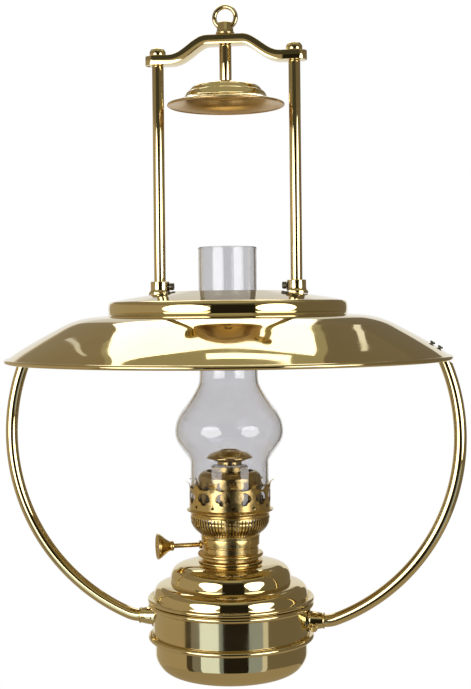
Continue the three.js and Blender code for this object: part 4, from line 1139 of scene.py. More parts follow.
def rod_socket():
    """The socket on the axis, still with a flat foot."""
    slant = crown_slope * SOCKET_FOOT_RADIUS
    bottom = crown_seat - slant
    top = crown_seat + SOCKET_HEIGHT
    floor_level = rod_shoulder - SEAT_GAP
    flare = (SOCKET_FOOT_RADIUS - SOCKET_RADIUS) * 1.6
    bore = ROD_RADIUS + SEAT_GAP
    hole = SCREW_RADIUS + SEAT_GAP
    foot_top = crown_seat + SEAT_GAP + slant / 2
    bend = [
        (SOCKET_FOOT_RADIUS, foot_top),
        (SOCKET_RADIUS + 0.3 * MM, foot_top + flare * 0.5),
        (SOCKET_RADIUS, foot_top + flare * 1.2),
    ]
    section = [
        (hole, bottom),
        (SOCKET_FOOT_RADIUS, bottom),
        *flowing(bend, 5),
        *head_edge(SOCKET_RADIUS, top, SMALL_EDGE),
        *arc(bore + SMALL_EDGE / 2, top - SMALL_EDGE / 2, SMALL_EDGE / 2, 90, 180, 3),
        (bore, floor_level),
        (hole, floor_level),
    ]
    return turned("rod_socket", section, steps=64, closed=True)


print("sockets stand at, mm:", round(crown_seat / MM, 2))

# %% [markdown]
# The screw's slot is a thin block, cut across its head. The screw is made along Z and then laid over,
# and the way for it is drilled by a cutter that is laid over in the same manner.

# %% Set screws, and both sockets
SET_SCREW_RADIUS = 3 * MM
SET_SCREW_HEAD = 3.6 * MM
SET_SCREW_SHANK = 1.5 * MM
SET_SCREW_SHARE = 0.58
CROWN_CUT_DEPTH = 12 * MM


def crown_cutter(offset):
    """All that lies under the crown's top face, moved off by the offset."""
    at_axis = crown_edge + crown_slope * CROWN_OPENING / 2 + offset
    low_edge = at_axis - crown_slope * BAND_RADIUS
    under = crown_seat - CROWN_CUT_DEPTH
    section = [(0, at_axis), (BAND_RADIUS, low_edge), (BAND_RADIUS, under), (0, under)]
    return turned("cutter", section, steps=128)


def set_screw(radius, head, shank, length):
    """A cheese-headed screw along Z, head up from the origin, with a slot."""
    edge = head / 5
    section = [
        (0, -length),
        (shank, -length),
        (shank, 0),
        (radius, 0),
        *head_edge(radius, head, edge),
        (0, head),
    ]
    screw = turned("screw", section, steps=40)
    return smooth(cut_by(screw, [block((4 * radius, radius * 0.3, head * 0.6), (0, 0, head))]))


def on_socket(piece, sign):
    """Lays a piece made along Z across the rod's socket, pointing to the glass."""
    rotated(piece, "Y", -90 * sign)
    return shifted(piece, x=sign * rod_reach, z=crown_seat + SOCKET_HEIGHT * SET_SCREW_SHARE)


for side, sign in SIDES.items():
    socket = shifted(rod_socket(), x=sign * rod_reach)
    socket.name = f"turned_socket_{side}"
    screw_way = on_socket(drill(SET_SCREW_SHANK + SEAT_GAP, 0, 2 * SOCKET_RADIUS), sign)
    cut_by(socket, [crown_cutter(SEAT_GAP)])
    smooth(cut_by(socket, [screw_way]))
    finished(socket, mirror_brass, f"rod_socket_{side}")
    screw = set_screw(SET_SCREW_RADIUS, SET_SCREW_HEAD, SET_SCREW_SHANK, SOCKET_RADIUS - ROD_RADIUS)
    screw.name = f"set_screw_{side}"
    on_socket(shifted(screw, z=SOCKET_RADIUS + SEAT_GAP), sign)
    finished(screw, dark_steel, f"socket_screw_{side}")
    repainted(f"crown_nut_{side}", mirror_brass)
print("screw heads, mm:", round(2 * SET_SCREW_RADIUS / MM, 1))

# %% [markdown]
# # The arms
# Each arm is a round bar bent to one large circle, with a short bend at its foot. A round section is
# extruded and spun along that line, just as the bar is drawn round two formers. Its upper end is cut
# off flat against a small lug, which two low screws hold under the shade.

# %% Lines of the arms
ARM_RADIUS = 5 * MM
ARM_REACH = 184.4 * MM
ARM_BEND = 158 * MM
ARM_FOOT_BEND = 25 * MM
ARM_FOOT_REACH = 76 * MM
LUG_THICKNESS = 2.6 * MM
LUG_SCREW_REACH = 166 * MM
foot_level = low("arm_right") + ARM_RADIUS
foot_centre = (ARM_FOOT_REACH, 0, foot_level + ARM_FOOT_BEND)
foot_turn = math.asin((ARM_FOOT_REACH - ARM_REACH + ARM_BEND) / (ARM_BEND - ARM_FOOT_BEND))
bend_rise = (ARM_BEND - ARM_FOOT_BEND) * math.cos(foot_turn)
bend_centre = (ARM_REACH - ARM_BEND, 0, foot_centre[2] + bend_rise)


def shade_at(reach):
    """Height and fall of the shade's outer face at a distance from the axis."""
    line = shade_line()
    for (in_r, in_z), (out_r, out_z) in zip(line, line[1:]):
        if in_r <= reach < out_r:
            fall = (out_z - in_z) / (out_r - in_r)
            return in_z + fall * (reach - in_r), fall
    raise ValueError("no shade there")


lug_level, lug_fall = shade_at(LUG_SCREW_REACH)
lug_tilt = math.atan(lug_fall)
print("arm foot level, mm:", round(foot_level / MM, 1), "lug level:", round(lug_level / MM, 1))

# %% [markdown]
# Only the right arm is worked out. The left one is the same bar turned half round, because the two
# sides of the lamp are alike but not mirrored: their clamp screws point opposite ways.

# %% Bending an arm
ARM_SOCKET_LENGTH = 12 * MM
ARM_OVERRUN = 0.02


def to_side(piece, sign):
    """Turns a piece that was made for the right half round, if it is for the left."""
    return piece if sign > 0 else rotated(piece, "Z", 180)


def on_shade(piece, sign, along=0.0, up=0.0):
    """Stands a piece that was made along Z on the shade's outer face, at the arm's lug."""
    rotated(shifted(piece, x=along, z=up), "Y", -math.degrees(lug_tilt))
    return to_side(shifted(piece, x=LUG_SCREW_REACH, z=lug_level), sign)


def bent_arm(name):
    """The right arm: a round section, extruded, spun round two centres and cut off along the lug."""
    to_object_mode()
    start = ARM_FOOT_REACH - ARM_SOCKET_LENGTH + RUNNING_GAP
    bpy.ops.mesh.primitive_circle_add(
        vertices=40,
        radius=ARM_RADIUS,
        fill_type="NGON",
        location=(start, 0, foot_level),
        rotation=(0, math.pi / 2, 0),
    )
    arm = fresh(name)
    settle(arm)
    edit_all(arm)
    extrude_by(ARM_FOOT_REACH - start, 0, 0)
    spin_round(14, foot_turn, foot_centre, (0, 1, 0))
    top_angle = math.pi / 2 - foot_turn + math.asin(min((lug_level - bend_centre[2]) / ARM_BEND, 1))
    spin_round(88, top_angle + ARM_OVERRUN, bend_centre, (0, 1, 0))
    tidy_mesh(arm)
    normal = Vector((-math.sin(lug_tilt), 0, math.cos(lug_tilt)))
    under = normal * (SHADE_SHEET + 3 * SEAT_GAP + LUG_THICKNESS)
    edit_all(arm)
    bpy.ops.mesh.bisect(
        plane_co=Vector((LUG_SCREW_REACH, 0, lug_level)) - under,
        plane_no=normal,
        clear_outer=True,
        use_fill=True,
    )
    tidy_mesh(arm)
    return arm


print("bend at the foot, degrees:", round(math.degrees(foot_turn), 1))

# %% [markdown]
# Only the four upright edges of the lug are rounded far, so they are picked by their direction before
# the bevel. All the other edges are just softened.

# %% Lugs, and both arms
LUG_LENGTH, LUG_WIDTH = 17 * MM, 15 * MM
LUG_EDGE = 0.3 * MM
LUG_SCREW_PITCH = 7 * MM
LUG_SCREW_RADIUS, LUG_SCREW_HEAD, LUG_SCREW_SHANK = 2.1 * MM, 1.4 * MM, 1.3 * MM


def lug():
    """A small plate with rounded corners, drilled for two screws."""
    plate = block((LUG_LENGTH, LUG_WIDTH, LUG_THICKNESS), name="lug_plate")
    edit_all(plate)
    bpy.ops.mesh.select_all(action="DESELECT")
    to_object_mode()
    for edge in plate.data.edges:
        one, two = (plate.data.vertices[index].co for index in edge.vertices)
        edge.select = abs(one.x - two.x) + abs(one.y - two.y) < MM / 10
    take(plate)
    bpy.ops.object.mode_set(mode="EDIT")
    bpy.ops.mesh.select_mode(type="EDGE")
    bpy.ops.mesh.bevel(offset=LUG_WIDTH / 5, segments=6)
    bpy.ops.mesh.select_mode(type="VERT")
    softened(plate, LUG_EDGE)
    drills = []
    for step in (-1, 1):
        hole = drill(LUG_SCREW_SHANK + SEAT_GAP, -LUG_THICKNESS, LUG_THICKNESS)
        drills.append(shifted(hole, x=step * LUG_SCREW_PITCH / 2))
    return smooth(cut_by(plate, drills))


for side, sign in SIDES.items():
    arm = smooth(to_side(bent_arm(f"bent_arm_{side}"), sign), 50)
    finished(arm, mirror_brass, f"arm_{side}")
    plate = on_shade(lug(), sign, up=-SHADE_SHEET - 2 * SEAT_GAP - LUG_THICKNESS / 2)
    plate.name = f"lug_plate_{side}"
    finished(plate, mirror_brass, f"arm_lug_{side}")
    for step, place in ((-1, "inner"), (1, "outer")):
        length = SHADE_SHEET + 5 * SEAT_GAP + LUG_THICKNESS
        screw = set_screw(LUG_SCREW_RADIUS, LUG_SCREW_HEAD, LUG_SCREW_SHANK, length)
        screw.name = f"low_screw_{side}_{place}"
        on_shade(screw, sign, along=step * LUG_SCREW_PITCH / 2, up=2 * SEAT_GAP)
        finished(screw, dark_steel, f"lug_screw_{side}_{place}")
print("screws under the shade:", 2 * len(SIDES))

# %% [markdown]
# The arm's foot goes into a socket on the holder ring: a flange brazed to the band, a cone, and a lip
# round the mouth. A screw with a knurled head clamps the arm. It comes in from the front on the right
# and from the back on the left, because both sockets are the same casting, turned half round.

# %% Arm sockets
ARM_SOCKET_TIP = 5.9 * MM
ARM_SOCKET_ROOT = 7.5 * MM
ARM_SOCKET_FOOT = 9.1 * MM
ARM_SOCKET_FLANGE = 1.2 * MM
ARM_SOCKET_LIP = 0.6 * MM
ARM_SOCKET_EDGE = 0.25 * MM
CLAMP_SHANK = 1.5 * MM
CLAMP_ANGLE = 62
HOLDER_WALL = 0.8 * MM
fount_radius = half_width("fount_bowl")
holder_radius = fount_radius + 2 * RUNNING_GAP + HOLDER_WALL
clamp_reach = ARM_FOOT_REACH - ARM_SOCKET_LENGTH * 0.66
arm_bore = ARM_RADIUS + SEAT_GAP


def on_clamp(piece):
    """Lays a piece that was made along Z, from the arm's centre line, on the right socket's screw."""
    return shifted(rotated(piece, "X", 180 - CLAMP_ANGLE), x=clamp_reach, z=foot_level)


def arm_socket():
    """The right socket, hollowed to the holder's band and drilled for its clamp screw."""
    band = holder_radius + SEAT_GAP
    end = ARM_FOOT_REACH
    flange = band + ARM_SOCKET_FLANGE
    waist = ARM_SOCKET_TIP + (ARM_SOCKET_ROOT - ARM_SOCKET_TIP) * 0.55
    cone = [
        (ARM_SOCKET_ROOT + 0.5 * MM, flange),
        (ARM_SOCKET_ROOT, flange + 0.6 * MM),
        (waist, (flange + end) / 2),
        (ARM_SOCKET_TIP, end - 2.2 * ARM_SOCKET_LIP),
    ]
    section = [
        (0, fount_radius),
        (ARM_SOCKET_FOOT, fount_radius),
        *head_edge(ARM_SOCKET_FOOT, flange, ARM_SOCKET_EDGE, 3),
        *flowing(cone, 4),
        *arc(ARM_SOCKET_TIP, end - ARM_SOCKET_LIP, ARM_SOCKET_LIP, -90, 60, 8),
        (arm_bore + ARM_SOCKET_EDGE, end),
        (arm_bore, end - ARM_SOCKET_EDGE),
        (arm_bore, end - ARM_SOCKET_LENGTH),
        (0, end - ARM_SOCKET_LENGTH),
    ]
    socket = shifted(rotated(turned("arm_socket", section, steps=64), "Y", 90), z=foot_level)
    reach = 2 * ARM_SOCKET_FOOT
    band_cutter = drill(band, foot_level - reach, foot_level + reach, steps=256)
    screw_way = on_clamp(drill(CLAMP_SHANK + SEAT_GAP, 0, reach))
    return smooth(cut_by(socket, [band_cutter, screw_way]))


print("holder radius, mm:", round(holder_radius / MM, 1))

# %% [markdown]
# A knurl could be cut tooth by tooth. Here the turned rim already has four corners for each tooth, and
# the corners are pressed in along a wave, which is close to how a knurling wheel works.

# %% Clamp screws, and both sockets
CLAMP_HEAD_RADIUS = 2.9 * MM
CLAMP_HEAD_HEIGHT = 3.2 * MM
CLAMP_EDGE = 0.6 * MM
CLAMP_TEETH = 18
CLAMP_TOOTH_DEPTH = 0.25 * MM


def clamp_screw():
    """A short screw whose round head is knurled by pressing in every second line of its rim."""
    seat = ARM_SOCKET_ROOT + SEAT_GAP
    end = seat + CLAMP_HEAD_HEIGHT
    section = [
        (0, arm_bore),
        (CLAMP_SHANK, arm_bore),
        (CLAMP_SHANK, seat),
        (CLAMP_HEAD_RADIUS - CLAMP_EDGE / 2, seat),
        (CLAMP_HEAD_RADIUS, seat + CLAMP_EDGE / 2),
        (CLAMP_HEAD_RADIUS, end - CLAMP_EDGE),
        *arc(CLAMP_HEAD_RADIUS - CLAMP_EDGE, end - CLAMP_EDGE, CLAMP_EDGE, 30, 90, 3),
        (0, end + 0.1 * MM),
    ]
    screw = turned("clamp_screw", section, steps=4 * CLAMP_TEETH)
    for corner in screw.data.vertices:
        reach = math.hypot(corner.co.x, corner.co.y)
        if reach > CLAMP_HEAD_RADIUS - CLAMP_EDGE / 4:
            turn = math.atan2(corner.co.y, corner.co.x)
            dent = CLAMP_TOOTH_DEPTH * (0.5 - 0.5 * math.cos(CLAMP_TEETH * turn))
            corner.co.x *= (reach - dent) / reach
            corner.co.y *= (reach - dent) / reach
    return smooth(on_clamp(screw), 25)


for side, sign in SIDES.items():
    for make, node in ((arm_socket, "arm_socket"), (clamp_screw, "arm_screw")):
        piece = to_side(make(), sign)
        piece.name = f"{piece.name}_turned_{side}"
        finished(piece, mirror_brass, f"{node}_{side}")
print("clamp screws at x, mm:", round(clamp_reach / MM, 1))

# %% [markdown]
# # The fount and its ring
# The holder is a band with a bead rolled into each edge, and the fount's rim rests on the upper one.

# %% Holder ring
HOLDER_BEAD = 2.2 * MM
HOLDER_BEAD_RADIUS = 67 * MM
holder_low, holder_high = low("fount_holder"), high("fount_holder")


def holder_ring():
    """The band, from its lower bead up to its upper one."""
    inner = holder_radius - HOLDER_WALL
    centre = HOLDER_BEAD_RADIUS - HOLDER_BEAD
    neck = math.degrees(math.acos((holder_radius - centre) / HOLDER_BEAD))
    start = holder_low + 2 * HOLDER_BEAD
    run = holder_high - holder_low - 4 * HOLDER_BEAD
    section = [
        (inner, holder_low),
        *arc(centre, holder_low + HOLDER_BEAD, HOLDER_BEAD, -90, neck, 16),
        *[(holder_radius, start + run * share) for share in (0.05, 0.5, 0.95)],
        *arc(centre, holder_high - HOLDER_BEAD, HOLDER_BEAD, -neck, 90, 16),
        (inner, holder_high),
    ]
    return turned("holder_ring", section, steps=256, closed=True, angle=30)


finished(holder_ring(), holder_brass, "fount_holder")
print("holder height, mm:", round((holder_high - holder_low) / MM, 1))

# %% [markdown]
# The fount is two spun shells, joined at its rim: a bowl below, and a stepped cover that rises in two
# shoulders to the threaded neck.

# %% Fount
FOUNT_SHEET = 0.8 * MM
FOUNT_BEND = 16 * MM
FOUNT_ROLL = 1.7 * MM
FOUNT_RIM_RADIUS = 67.4 * MM
LOWER_SHOULDER_RADIUS, LOWER_SHOULDER_HEIGHT = 62.4 * MM, 12.5 * MM
UPPER_DOME_RADIUS, UPPER_DOME_HEIGHT = 48.9 * MM, 16.5 * MM
COLLAR_RADIUS = 22.5 * MM
LOWER_SHARES = [(1, 1), (0.75, 0.98), (0.45, 0.91), (0.24, 0.8), (0.1, 0.62), (0.03, 0.4), (0, 0.1)]
UPPER_SHARES = [(1, 1), (0.55, 0.96), (0.3, 0.87), (0.15, 0.74), (0.06, 0.56), (0.015, 0.34), (0, 0.08)]
fount_bottom = low("fount_bowl")
fount_rim = low("fount_top") + FOUNT_ROLL


def fount_shell():
    """The bowl, out and up its outside, then down and back in its inside."""
    bend = (fount_radius - FOUNT_BEND, fount_bottom + FOUNT_BEND)
    top = high("fount_bowl")
    section = [
        (0, fount_bottom),
        (fount_radius * 0.4, fount_bottom),
        *arc(*bend, FOUNT_BEND, -90, 0, 20),
        (fount_radius, top),
        (fount_radius - FOUNT_SHEET, top),
        *arc(*bend, FOUNT_BEND - FOUNT_SHEET, 0, -90, 20),
        (0, fount_bottom + FOUNT_SHEET),
    ]
    return turned("fount_shell", section, steps=256, angle=30)


def fount_cover():
    """The cover, from its neck out over both shoulders to the rolled rim."""
    flange = fount_rim + FOUNT_SHEET / 2
    step = flange + LOWER_SHOULDER_HEIGHT
    neck_run = COLLAR_RADIUS + RUNNING_GAP - UPPER_DOME_RADIUS
    step_run = UPPER_DOME_RADIUS - LOWER_SHOULDER_RADIUS
    outline = [
        *flowing(scaled(UPPER_SHARES, UPPER_DOME_RADIUS, neck_run, step, UPPER_DOME_HEIGHT), 4),
        *flowing(scaled(LOWER_SHARES, LOWER_SHOULDER_RADIUS, step_run, flange, LOWER_SHOULDER_HEIGHT), 4),
        (LOWER_SHOULDER_RADIUS + 0.6 * MM, flange),
        (FOUNT_RIM_RADIUS - 2 * FOUNT_ROLL, flange),
    ]
    section = rolled_sheet(outline, FOUNT_SHEET, FOUNT_ROLL)
    return turned("fount_cover", section, steps=256, closed=True, angle=30)


finished(fount_shell(), spun_brass, "fount_bowl", "fount")
finished(fount_cover(), spun_brass, "fount_top", "fount")
print("fount rim level, mm:", round(fount_rim / MM, 1))

# %% [markdown]
# The burner screws into a threaded collar in the fount's neck. The collar, like the burner, is left in
# the deeper gold of its own alloy.

# %% Collar
COLLAR_WALL = 2.1 * MM
COLLAR_FLANGE_RADIUS = 26 * MM
COLLAR_FLANGE_HEIGHT = 1.4 * MM
COLLAR_FOOT = 6 * MM


def threaded_collar():
    """The collar, from its foot inside the neck to the flange on the cover and the mouth."""
    bottom, top = low("fount_collar"), high("fount_collar")
    seat = bottom + COLLAR_FOOT
    inner = COLLAR_RADIUS - COLLAR_WALL
    section = [
        (inner, bottom),
        (COLLAR_RADIUS - SEAT_GAP, bottom),
        (COLLAR_RADIUS - SEAT_GAP, seat),
        (COLLAR_FLANGE_RADIUS, seat),
        *head_edge(COLLAR_FLANGE_RADIUS, seat + 2 * SMALL_EDGE, SMALL_EDGE),
        (COLLAR_RADIUS + COLLAR_FLANGE_HEIGHT, seat + COLLAR_FLANGE_HEIGHT * 0.8),
        (COLLAR_RADIUS + SEAT_GAP, seat + COLLAR_FLANGE_HEIGHT * 1.4),
        (COLLAR_RADIUS + SEAT_GAP, top),
        (inner, top),
    ]
    return turned("threaded_collar", section, steps=128, closed=True, angle=35)


finished(threaded_collar(), burner_brass, "fount_collar", "fount")
print("collar radius, mm:", round(COLLAR_RADIUS / MM, 1))

# %% [markdown]
# # The burner
# A round burner holds the wick between two tubes. Air comes in through the slotted basket, and up the
# draft tube inside the wick. The base is turned in steps, with a groove under its neck.

# %% Burner base
BASE_NECK_RADIUS = 23.6 * MM
BASE_NECK_HEIGHT = 6 * MM
BASE_GROOVE = 1.2 * MM
BASE_HEIGHT = 15.2 * MM
BASE_FLANGE_RADIUS = 26.3 * MM
BASE_FLANGE_HEIGHT = 3.2 * MM
BASE_WALL = 1.5 * MM
BASE_FLOOR = 1.4 * MM
SPIGOT_LENGTH = 9 * MM
FINE_EDGE = 0.4 * MM
WICK_INNER, WICK_OUTER = 12 * MM, 13.8 * MM
WINDER_ANGLE = 202
WINDER_OFFSET = 17.2 * MM
WINDER_LEVEL = -436 * MM
BUSH_RADIUS = 3.5 * MM
BUSH_WAY_START = 4.5 * MM
base_top = high("burner_base")
base_flange = base_top - BASE_HEIGHT
base_waist = BASE_NECK_RADIUS - FOUNT_SHEET
spigot_radius = COLLAR_RADIUS - COLLAR_WALL - SEAT_GAP


def on_winder(piece):
    """Lays a piece made along Z on the winder's shaft, pointing out to the knob."""
    return rotated(shifted(rotated(piece, "Y", 90), y=-WINDER_OFFSET, z=WINDER_LEVEL), "Z", WINDER_ANGLE)


def turned_base():
    """The base, from its floor down the spigot, out over the flange and up to the neck."""
    flange_top = base_flange + BASE_FLANGE_HEIGHT
    groove = base_top - BASE_NECK_HEIGHT
    inner = base_waist - BASE_WALL
    floor_level = base_flange + BASE_FLOOR / 2
    passage = WICK_OUTER + RUNNING_GAP
    bead = BASE_FLANGE_HEIGHT / 2
    section = [
        (passage, floor_level),
        (spigot_radius - BASE_WALL, floor_level),
        (spigot_radius - BASE_WALL, base_flange - SPIGOT_LENGTH),
        (spigot_radius, base_flange - SPIGOT_LENGTH),
        (spigot_radius, base_flange),
        *arc(BASE_FLANGE_RADIUS + SEAT_GAP - bead, base_flange + bead, bead, -90, 60, 10),
        (base_waist + SMALL_EDGE, flange_top),
        (base_waist, flange_top + FINE_EDGE),
        (base_waist, groove - BASE_GROOVE - FINE_EDGE),
        (base_waist - BASE_GROOVE / 2, groove - BASE_GROOVE),
        (base_waist - BASE_GROOVE / 2, groove),
        *foot_edge(BASE_NECK_RADIUS, groove, FINE_EDGE),
        *head_edge(BASE_NECK_RADIUS, base_top, FINE_EDGE),
        (inner, base_top),
        (inner, floor_level + BASE_FLOOR),
        (passage, floor_level + BASE_FLOOR),
    ]
    base = turned("turned_base", section, steps=144, closed=True)
    way = drill(BUSH_RADIUS + SEAT_GAP, BUSH_WAY_START, 2 * BASE_FLANGE_RADIUS, steps=48)
    return smooth(cut_by(base, [on_winder(way)]), 30)


finished(turned_base(), burner_brass, "burner_base", "burner")
print("base top level, mm:", round(base_top / MM, 1))

# %% [markdown]
# The basket is the burner's air inlet: seventy-two fine slots are sawn down its bowl, from just above
# the foot to just below a plain round band. Each slot is one thin block, turned into its place and cut
# out with all the others in a single step. Its inside gets a dull, very dark brass, a painted shade,
# so that the slots read as dark lines.

# %% Basket
BASKET_RADIUS = 32.1 * MM
BASKET_HEIGHT = 20 * MM
BASKET_SLOTS = 72
BASKET_SLOT_WIDTH = 1.15 * MM
BASKET_BULGE = 0.5 * MM
BASKET_SHARES = [
    (0.97, 0.64), (0.92, 0.56), (0.78, 0.44), (0.52, 0.3), (0.27, 0.21), (0.08, 0.14), (0.01, 0.08), (0, 0),
]
BASKET_LIP = [(1.6, 0), (0.7, 0), (0.4, 0.3), (0.4, 0.7), (1.1, 0.9), (1.1, 1.4), (0.2, 1.5)]
basket_foot = low("burner_basket")
basket_top = high("burner_basket")


def slots_round(count, size, place, offset=0.0):
    """Blocks in a ring, to be cut out together."""
    return [rotated(block(size, place), "Z", 360 * (index + offset) / count) for index in range(count)]


def slotted_basket():
    """The basket's sheet, from its lip down over the band and the bowl to the foot."""
    bottom = BASE_NECK_RADIUS + SEAT_GAP
    span = BASKET_RADIUS - bottom
    band_low, band_high = (basket_foot + BASKET_HEIGHT * share for share in (0.68, 0.9))
    slot_low, slot_high = (basket_foot + BASKET_HEIGHT * share for share in (0.15, 0.85))
    steps = (0, 0.12, 0.3, 0.5, 0.7, 0.88, 1)
    band = [(math.sin(math.pi * share), share) for share in steps]
    outline = [
        *[(BASKET_RADIUS - inward * MM, basket_top - down * MM) for inward, down in BASKET_LIP],
        *scaled(band, BASKET_RADIUS - BASKET_BULGE, BASKET_BULGE, band_high, band_low - band_high),
        *flowing(scaled(BASKET_SHARES, bottom, span, basket_foot, BASKET_HEIGHT), 3),
    ]
    basket = turned("slotted_basket", sheet_of(outline, FOUNT_SHEET), steps=BASKET_SLOTS * 4, closed=True)
    size = (BASKET_RADIUS, BASKET_SLOT_WIDTH, slot_high - slot_low)
    place = (bottom + span * 0.1 + BASKET_RADIUS / 2, 0, (slot_low + slot_high) / 2)
    return smooth(cut_by(basket, slots_round(BASKET_SLOTS, size, place, 0.5)), 30)


def faces_in(face):
    """Whether a face of a turned piece looks towards the axis."""
    return face.normal.x * face.center.x + face.normal.y * face.center.y < 0


burner_basket = finished(slotted_basket(), burner_brass, "burner_basket", "burner")
# The basket's inward faces get the very dark brass, a painted shade.
second_finish(burner_basket, painted_shade_brass, faces_in)
print("basket slots:", BASKET_SLOTS)

# %% [markdown]
# The gallery is the piece that takes the most skill. It is stamped from one sheet: twelve arches like
# tulips with slim posts between them, a small diamond hole at each post's foot, and a crown of thin
# prongs that bend out and spring against the glass. A sharp ridge runs round its foot.

# %% Gallery
GALLERY_RADIUS = 32.8 * MM
GALLERY_RIDGE_RADIUS = 35.1 * MM
GALLERY_RIDGE_HEIGHT = 3.4 * MM
GALLERY_PRONGS = 12
PRONG_FLARE = 3 * MM
PRONG_LENGTH = 4 * MM
FITTER_RADIUS = 31.6 * MM
CAP_RADIUS = 25.5 * MM
FLARE_SHARES = [(0, 0), (0.1, 0.35), (0.36, 0.7), (1, 1)]
gallery_low = low("gallery")
gallery_floor = gallery_low + GALLERY_RIDGE_HEIGHT
gallery_pitch = 2 * math.pi * GALLERY_RADIUS / GALLERY_PRONGS


def gallery_wall():
    """The gallery before it is pierced: floor, ridge, wall and flared edge."""
    inner = FITTER_RADIUS + RUNNING_GAP
    floor_inner = CAP_RADIUS - 2 * FOUNT_SHEET
    bend = high("gallery") - PRONG_LENGTH
    levels = [gallery_floor + (bend - gallery_floor) * share for share in (0.04, 0.2, 0.4, 0.6, 0.8)]
    outer_flare = scaled(FLARE_SHARES, GALLERY_RADIUS, PRONG_FLARE, bend, PRONG_LENGTH)
    drops = (0, 0, FOUNT_SHEET / 2, FOUNT_SHEET / 2)
    inner_flare = [(r - FOUNT_SHEET * 0.95, z - drop) for (r, z), drop in zip(outer_flare, drops)]
    section = [
        (floor_inner, gallery_floor - FOUNT_SHEET),
        (inner, gallery_floor - FOUNT_SHEET),
        (inner - FOUNT_SHEET, gallery_low),
        (GALLERY_RADIUS, gallery_low),
        (GALLERY_RADIUS + 0.9 * MM, gallery_low + GALLERY_RIDGE_HEIGHT * 0.2),
        (GALLERY_RIDGE_RADIUS, gallery_low + GALLERY_RIDGE_HEIGHT * 0.42),
        (GALLERY_RIDGE_RADIUS, gallery_low + GALLERY_RIDGE_HEIGHT * 0.5),
        (GALLERY_RADIUS + 0.7 * MM, gallery_low + GALLERY_RIDGE_HEIGHT * 0.72),
        (GALLERY_RADIUS, gallery_floor),
        *[(GALLERY_RADIUS, level) for level in levels],
        *outer_flare,
        *reversed(inner_flare),
        *[(inner, level) for level in reversed(levels)],
        (inner, gallery_floor),
        (floor_inner, gallery_floor),
    ]
    return turned("pierced_gallery", section, steps=144, closed=True)


print("gallery pitch, mm:", round(gallery_pitch / MM, 2))

# %% [markdown]
# The holes are punched from the inside outwards. Each punch is an outline that is filled and extruded
# through the wall, and all the punches cut together, so the wall is worked out only once.

# %% Piercing the gallery
GALLERY_HEIGHT = 21.6 * MM
GALLERY_EDGE = 0.1 * MM
ARCH_SHARES = [
    (0, 0.25), (0.3, 0.27), (0.42, 0.32), (0.5, 0.39), (0.86, 0.44), (1, 0.52),
    (0.98, 0.62), (0.8, 0.72), (0.55, 0.79), (0.28, 0.83), (0, 0.845),
]
NOTCH_SHARES = [(0, -1.35), (0.3, -1.32), (0.62, -1.2), (0.86, -0.98), (0.97, -0.65), (1, 0.5)]
DIAMOND_SHARES = [(0, 0.07), (0.1, 0.15), (0, 0.23)]


def punch(shares, width, level, height, degrees):
    """A block that is driven out through the wall. Its outline is given by its right half, in shares."""
    half = scaled(shares, 0, width, gallery_floor + level, height)
    outline = [*half, *[(-y, z) for y, z in reversed(half) if abs(y) > MM / 1e6]]
    start = FITTER_RADIUS - FOUNT_SHEET
    cutter = drawn("cutter", [(start, y, z) for y, z in outline])
    bpy.ops.mesh.edge_face_add()
    bpy.ops.mesh.select_all(action="SELECT")
    extrude_by(GALLERY_RIDGE_RADIUS + PRONG_FLARE + MM - start, 0, 0)
    bpy.ops.mesh.select_all(action="SELECT")
    bpy.ops.mesh.normals_make_consistent(inside=False)
    to_object_mode()
    return rotated(cutter, "Z", degrees)


def pierced_gallery():
    """The wall with its arches, the notches between its prongs, and the diamond holes."""
    height = GALLERY_HEIGHT - PRONG_LENGTH
    cutters = []
    for index in range(GALLERY_PRONGS):
        turn = 360 * index / GALLERY_PRONGS
        cutters.append(punch(ARCH_SHARES, gallery_pitch * 0.37, 0, height, turn))
        cutters.append(punch(NOTCH_SHARES, gallery_pitch * 0.4, GALLERY_HEIGHT, PRONG_LENGTH, turn))
        cutters.append(punch(DIAMOND_SHARES, gallery_pitch, 0, height, turn + 180 / GALLERY_PRONGS))
    return smooth(softened(cut_by(gallery_wall(), cutters), GALLERY_EDGE, segments=1, angle=60))


gallery = finished(pierced_gallery(), burner_brass, "gallery", "gallery")
print("gallery, faces:", len(gallery.data.polygons))

# %% [markdown]
# Inside the gallery a domed cap leads the air against the flame. It is pressed from sheet, so it is a
# line with a wall.

# %% Cap
CAP_OPENING = 19.5 * MM


def deflector_cap():
    """The cap's sheet, from its opening over the crown and down to the foot."""
    foot = low("deflector_cap")
    crown = CAP_RADIUS - CAP_OPENING
    outline = [
        *arc(CAP_OPENING, high("deflector_cap") - crown, crown, 96, 0, 16),
        (CAP_RADIUS, foot + 6 * MM),
        (CAP_RADIUS, foot + 1.4 * MM),
        (CAP_RADIUS + 0.5 * MM, foot + 0.6 * MM),
        (CAP_RADIUS + 0.6 * MM, foot),
    ]
    return turned("domed_cap", sheet_of(outline, FOUNT_SHEET), steps=128, closed=True, angle=35)


finished(deflector_cap(), burner_brass, "deflector_cap", "gallery")
print("cap opening, mm:", round(2 * CAP_OPENING / MM, 1))

# %% [markdown]
# The spreader stands on the draft tube and spreads the flame outwards. Its neck is slotted, so that air
# reaches the inside of the flame too.

# %% Flame spreader
SPREADER_RADIUS = 18.6 * MM
SPREADER_TOP_RADIUS = 7.9 * MM
SPREADER_HEIGHT = 5.5 * MM
SPREADER_EDGE = 0.9 * MM
SPREADER_BELLY = 2.8 * MM
SPREADER_FLANGE = 1 * MM
SPREADER_NECK_RADIUS = 9.8 * MM
SPREADER_NECK_HEIGHT = 3.2 * MM
SPREADER_SPIGOT = 12 * MM
SPREADER_SLOTS = 18
SPREADER_SLOT_DEPTH, SPREADER_SLOT_WIDTH = 3 * MM, 1.1 * MM
TUBE_WALL = 0.6 * MM
draft_radius = WICK_INNER - SEAT_GAP


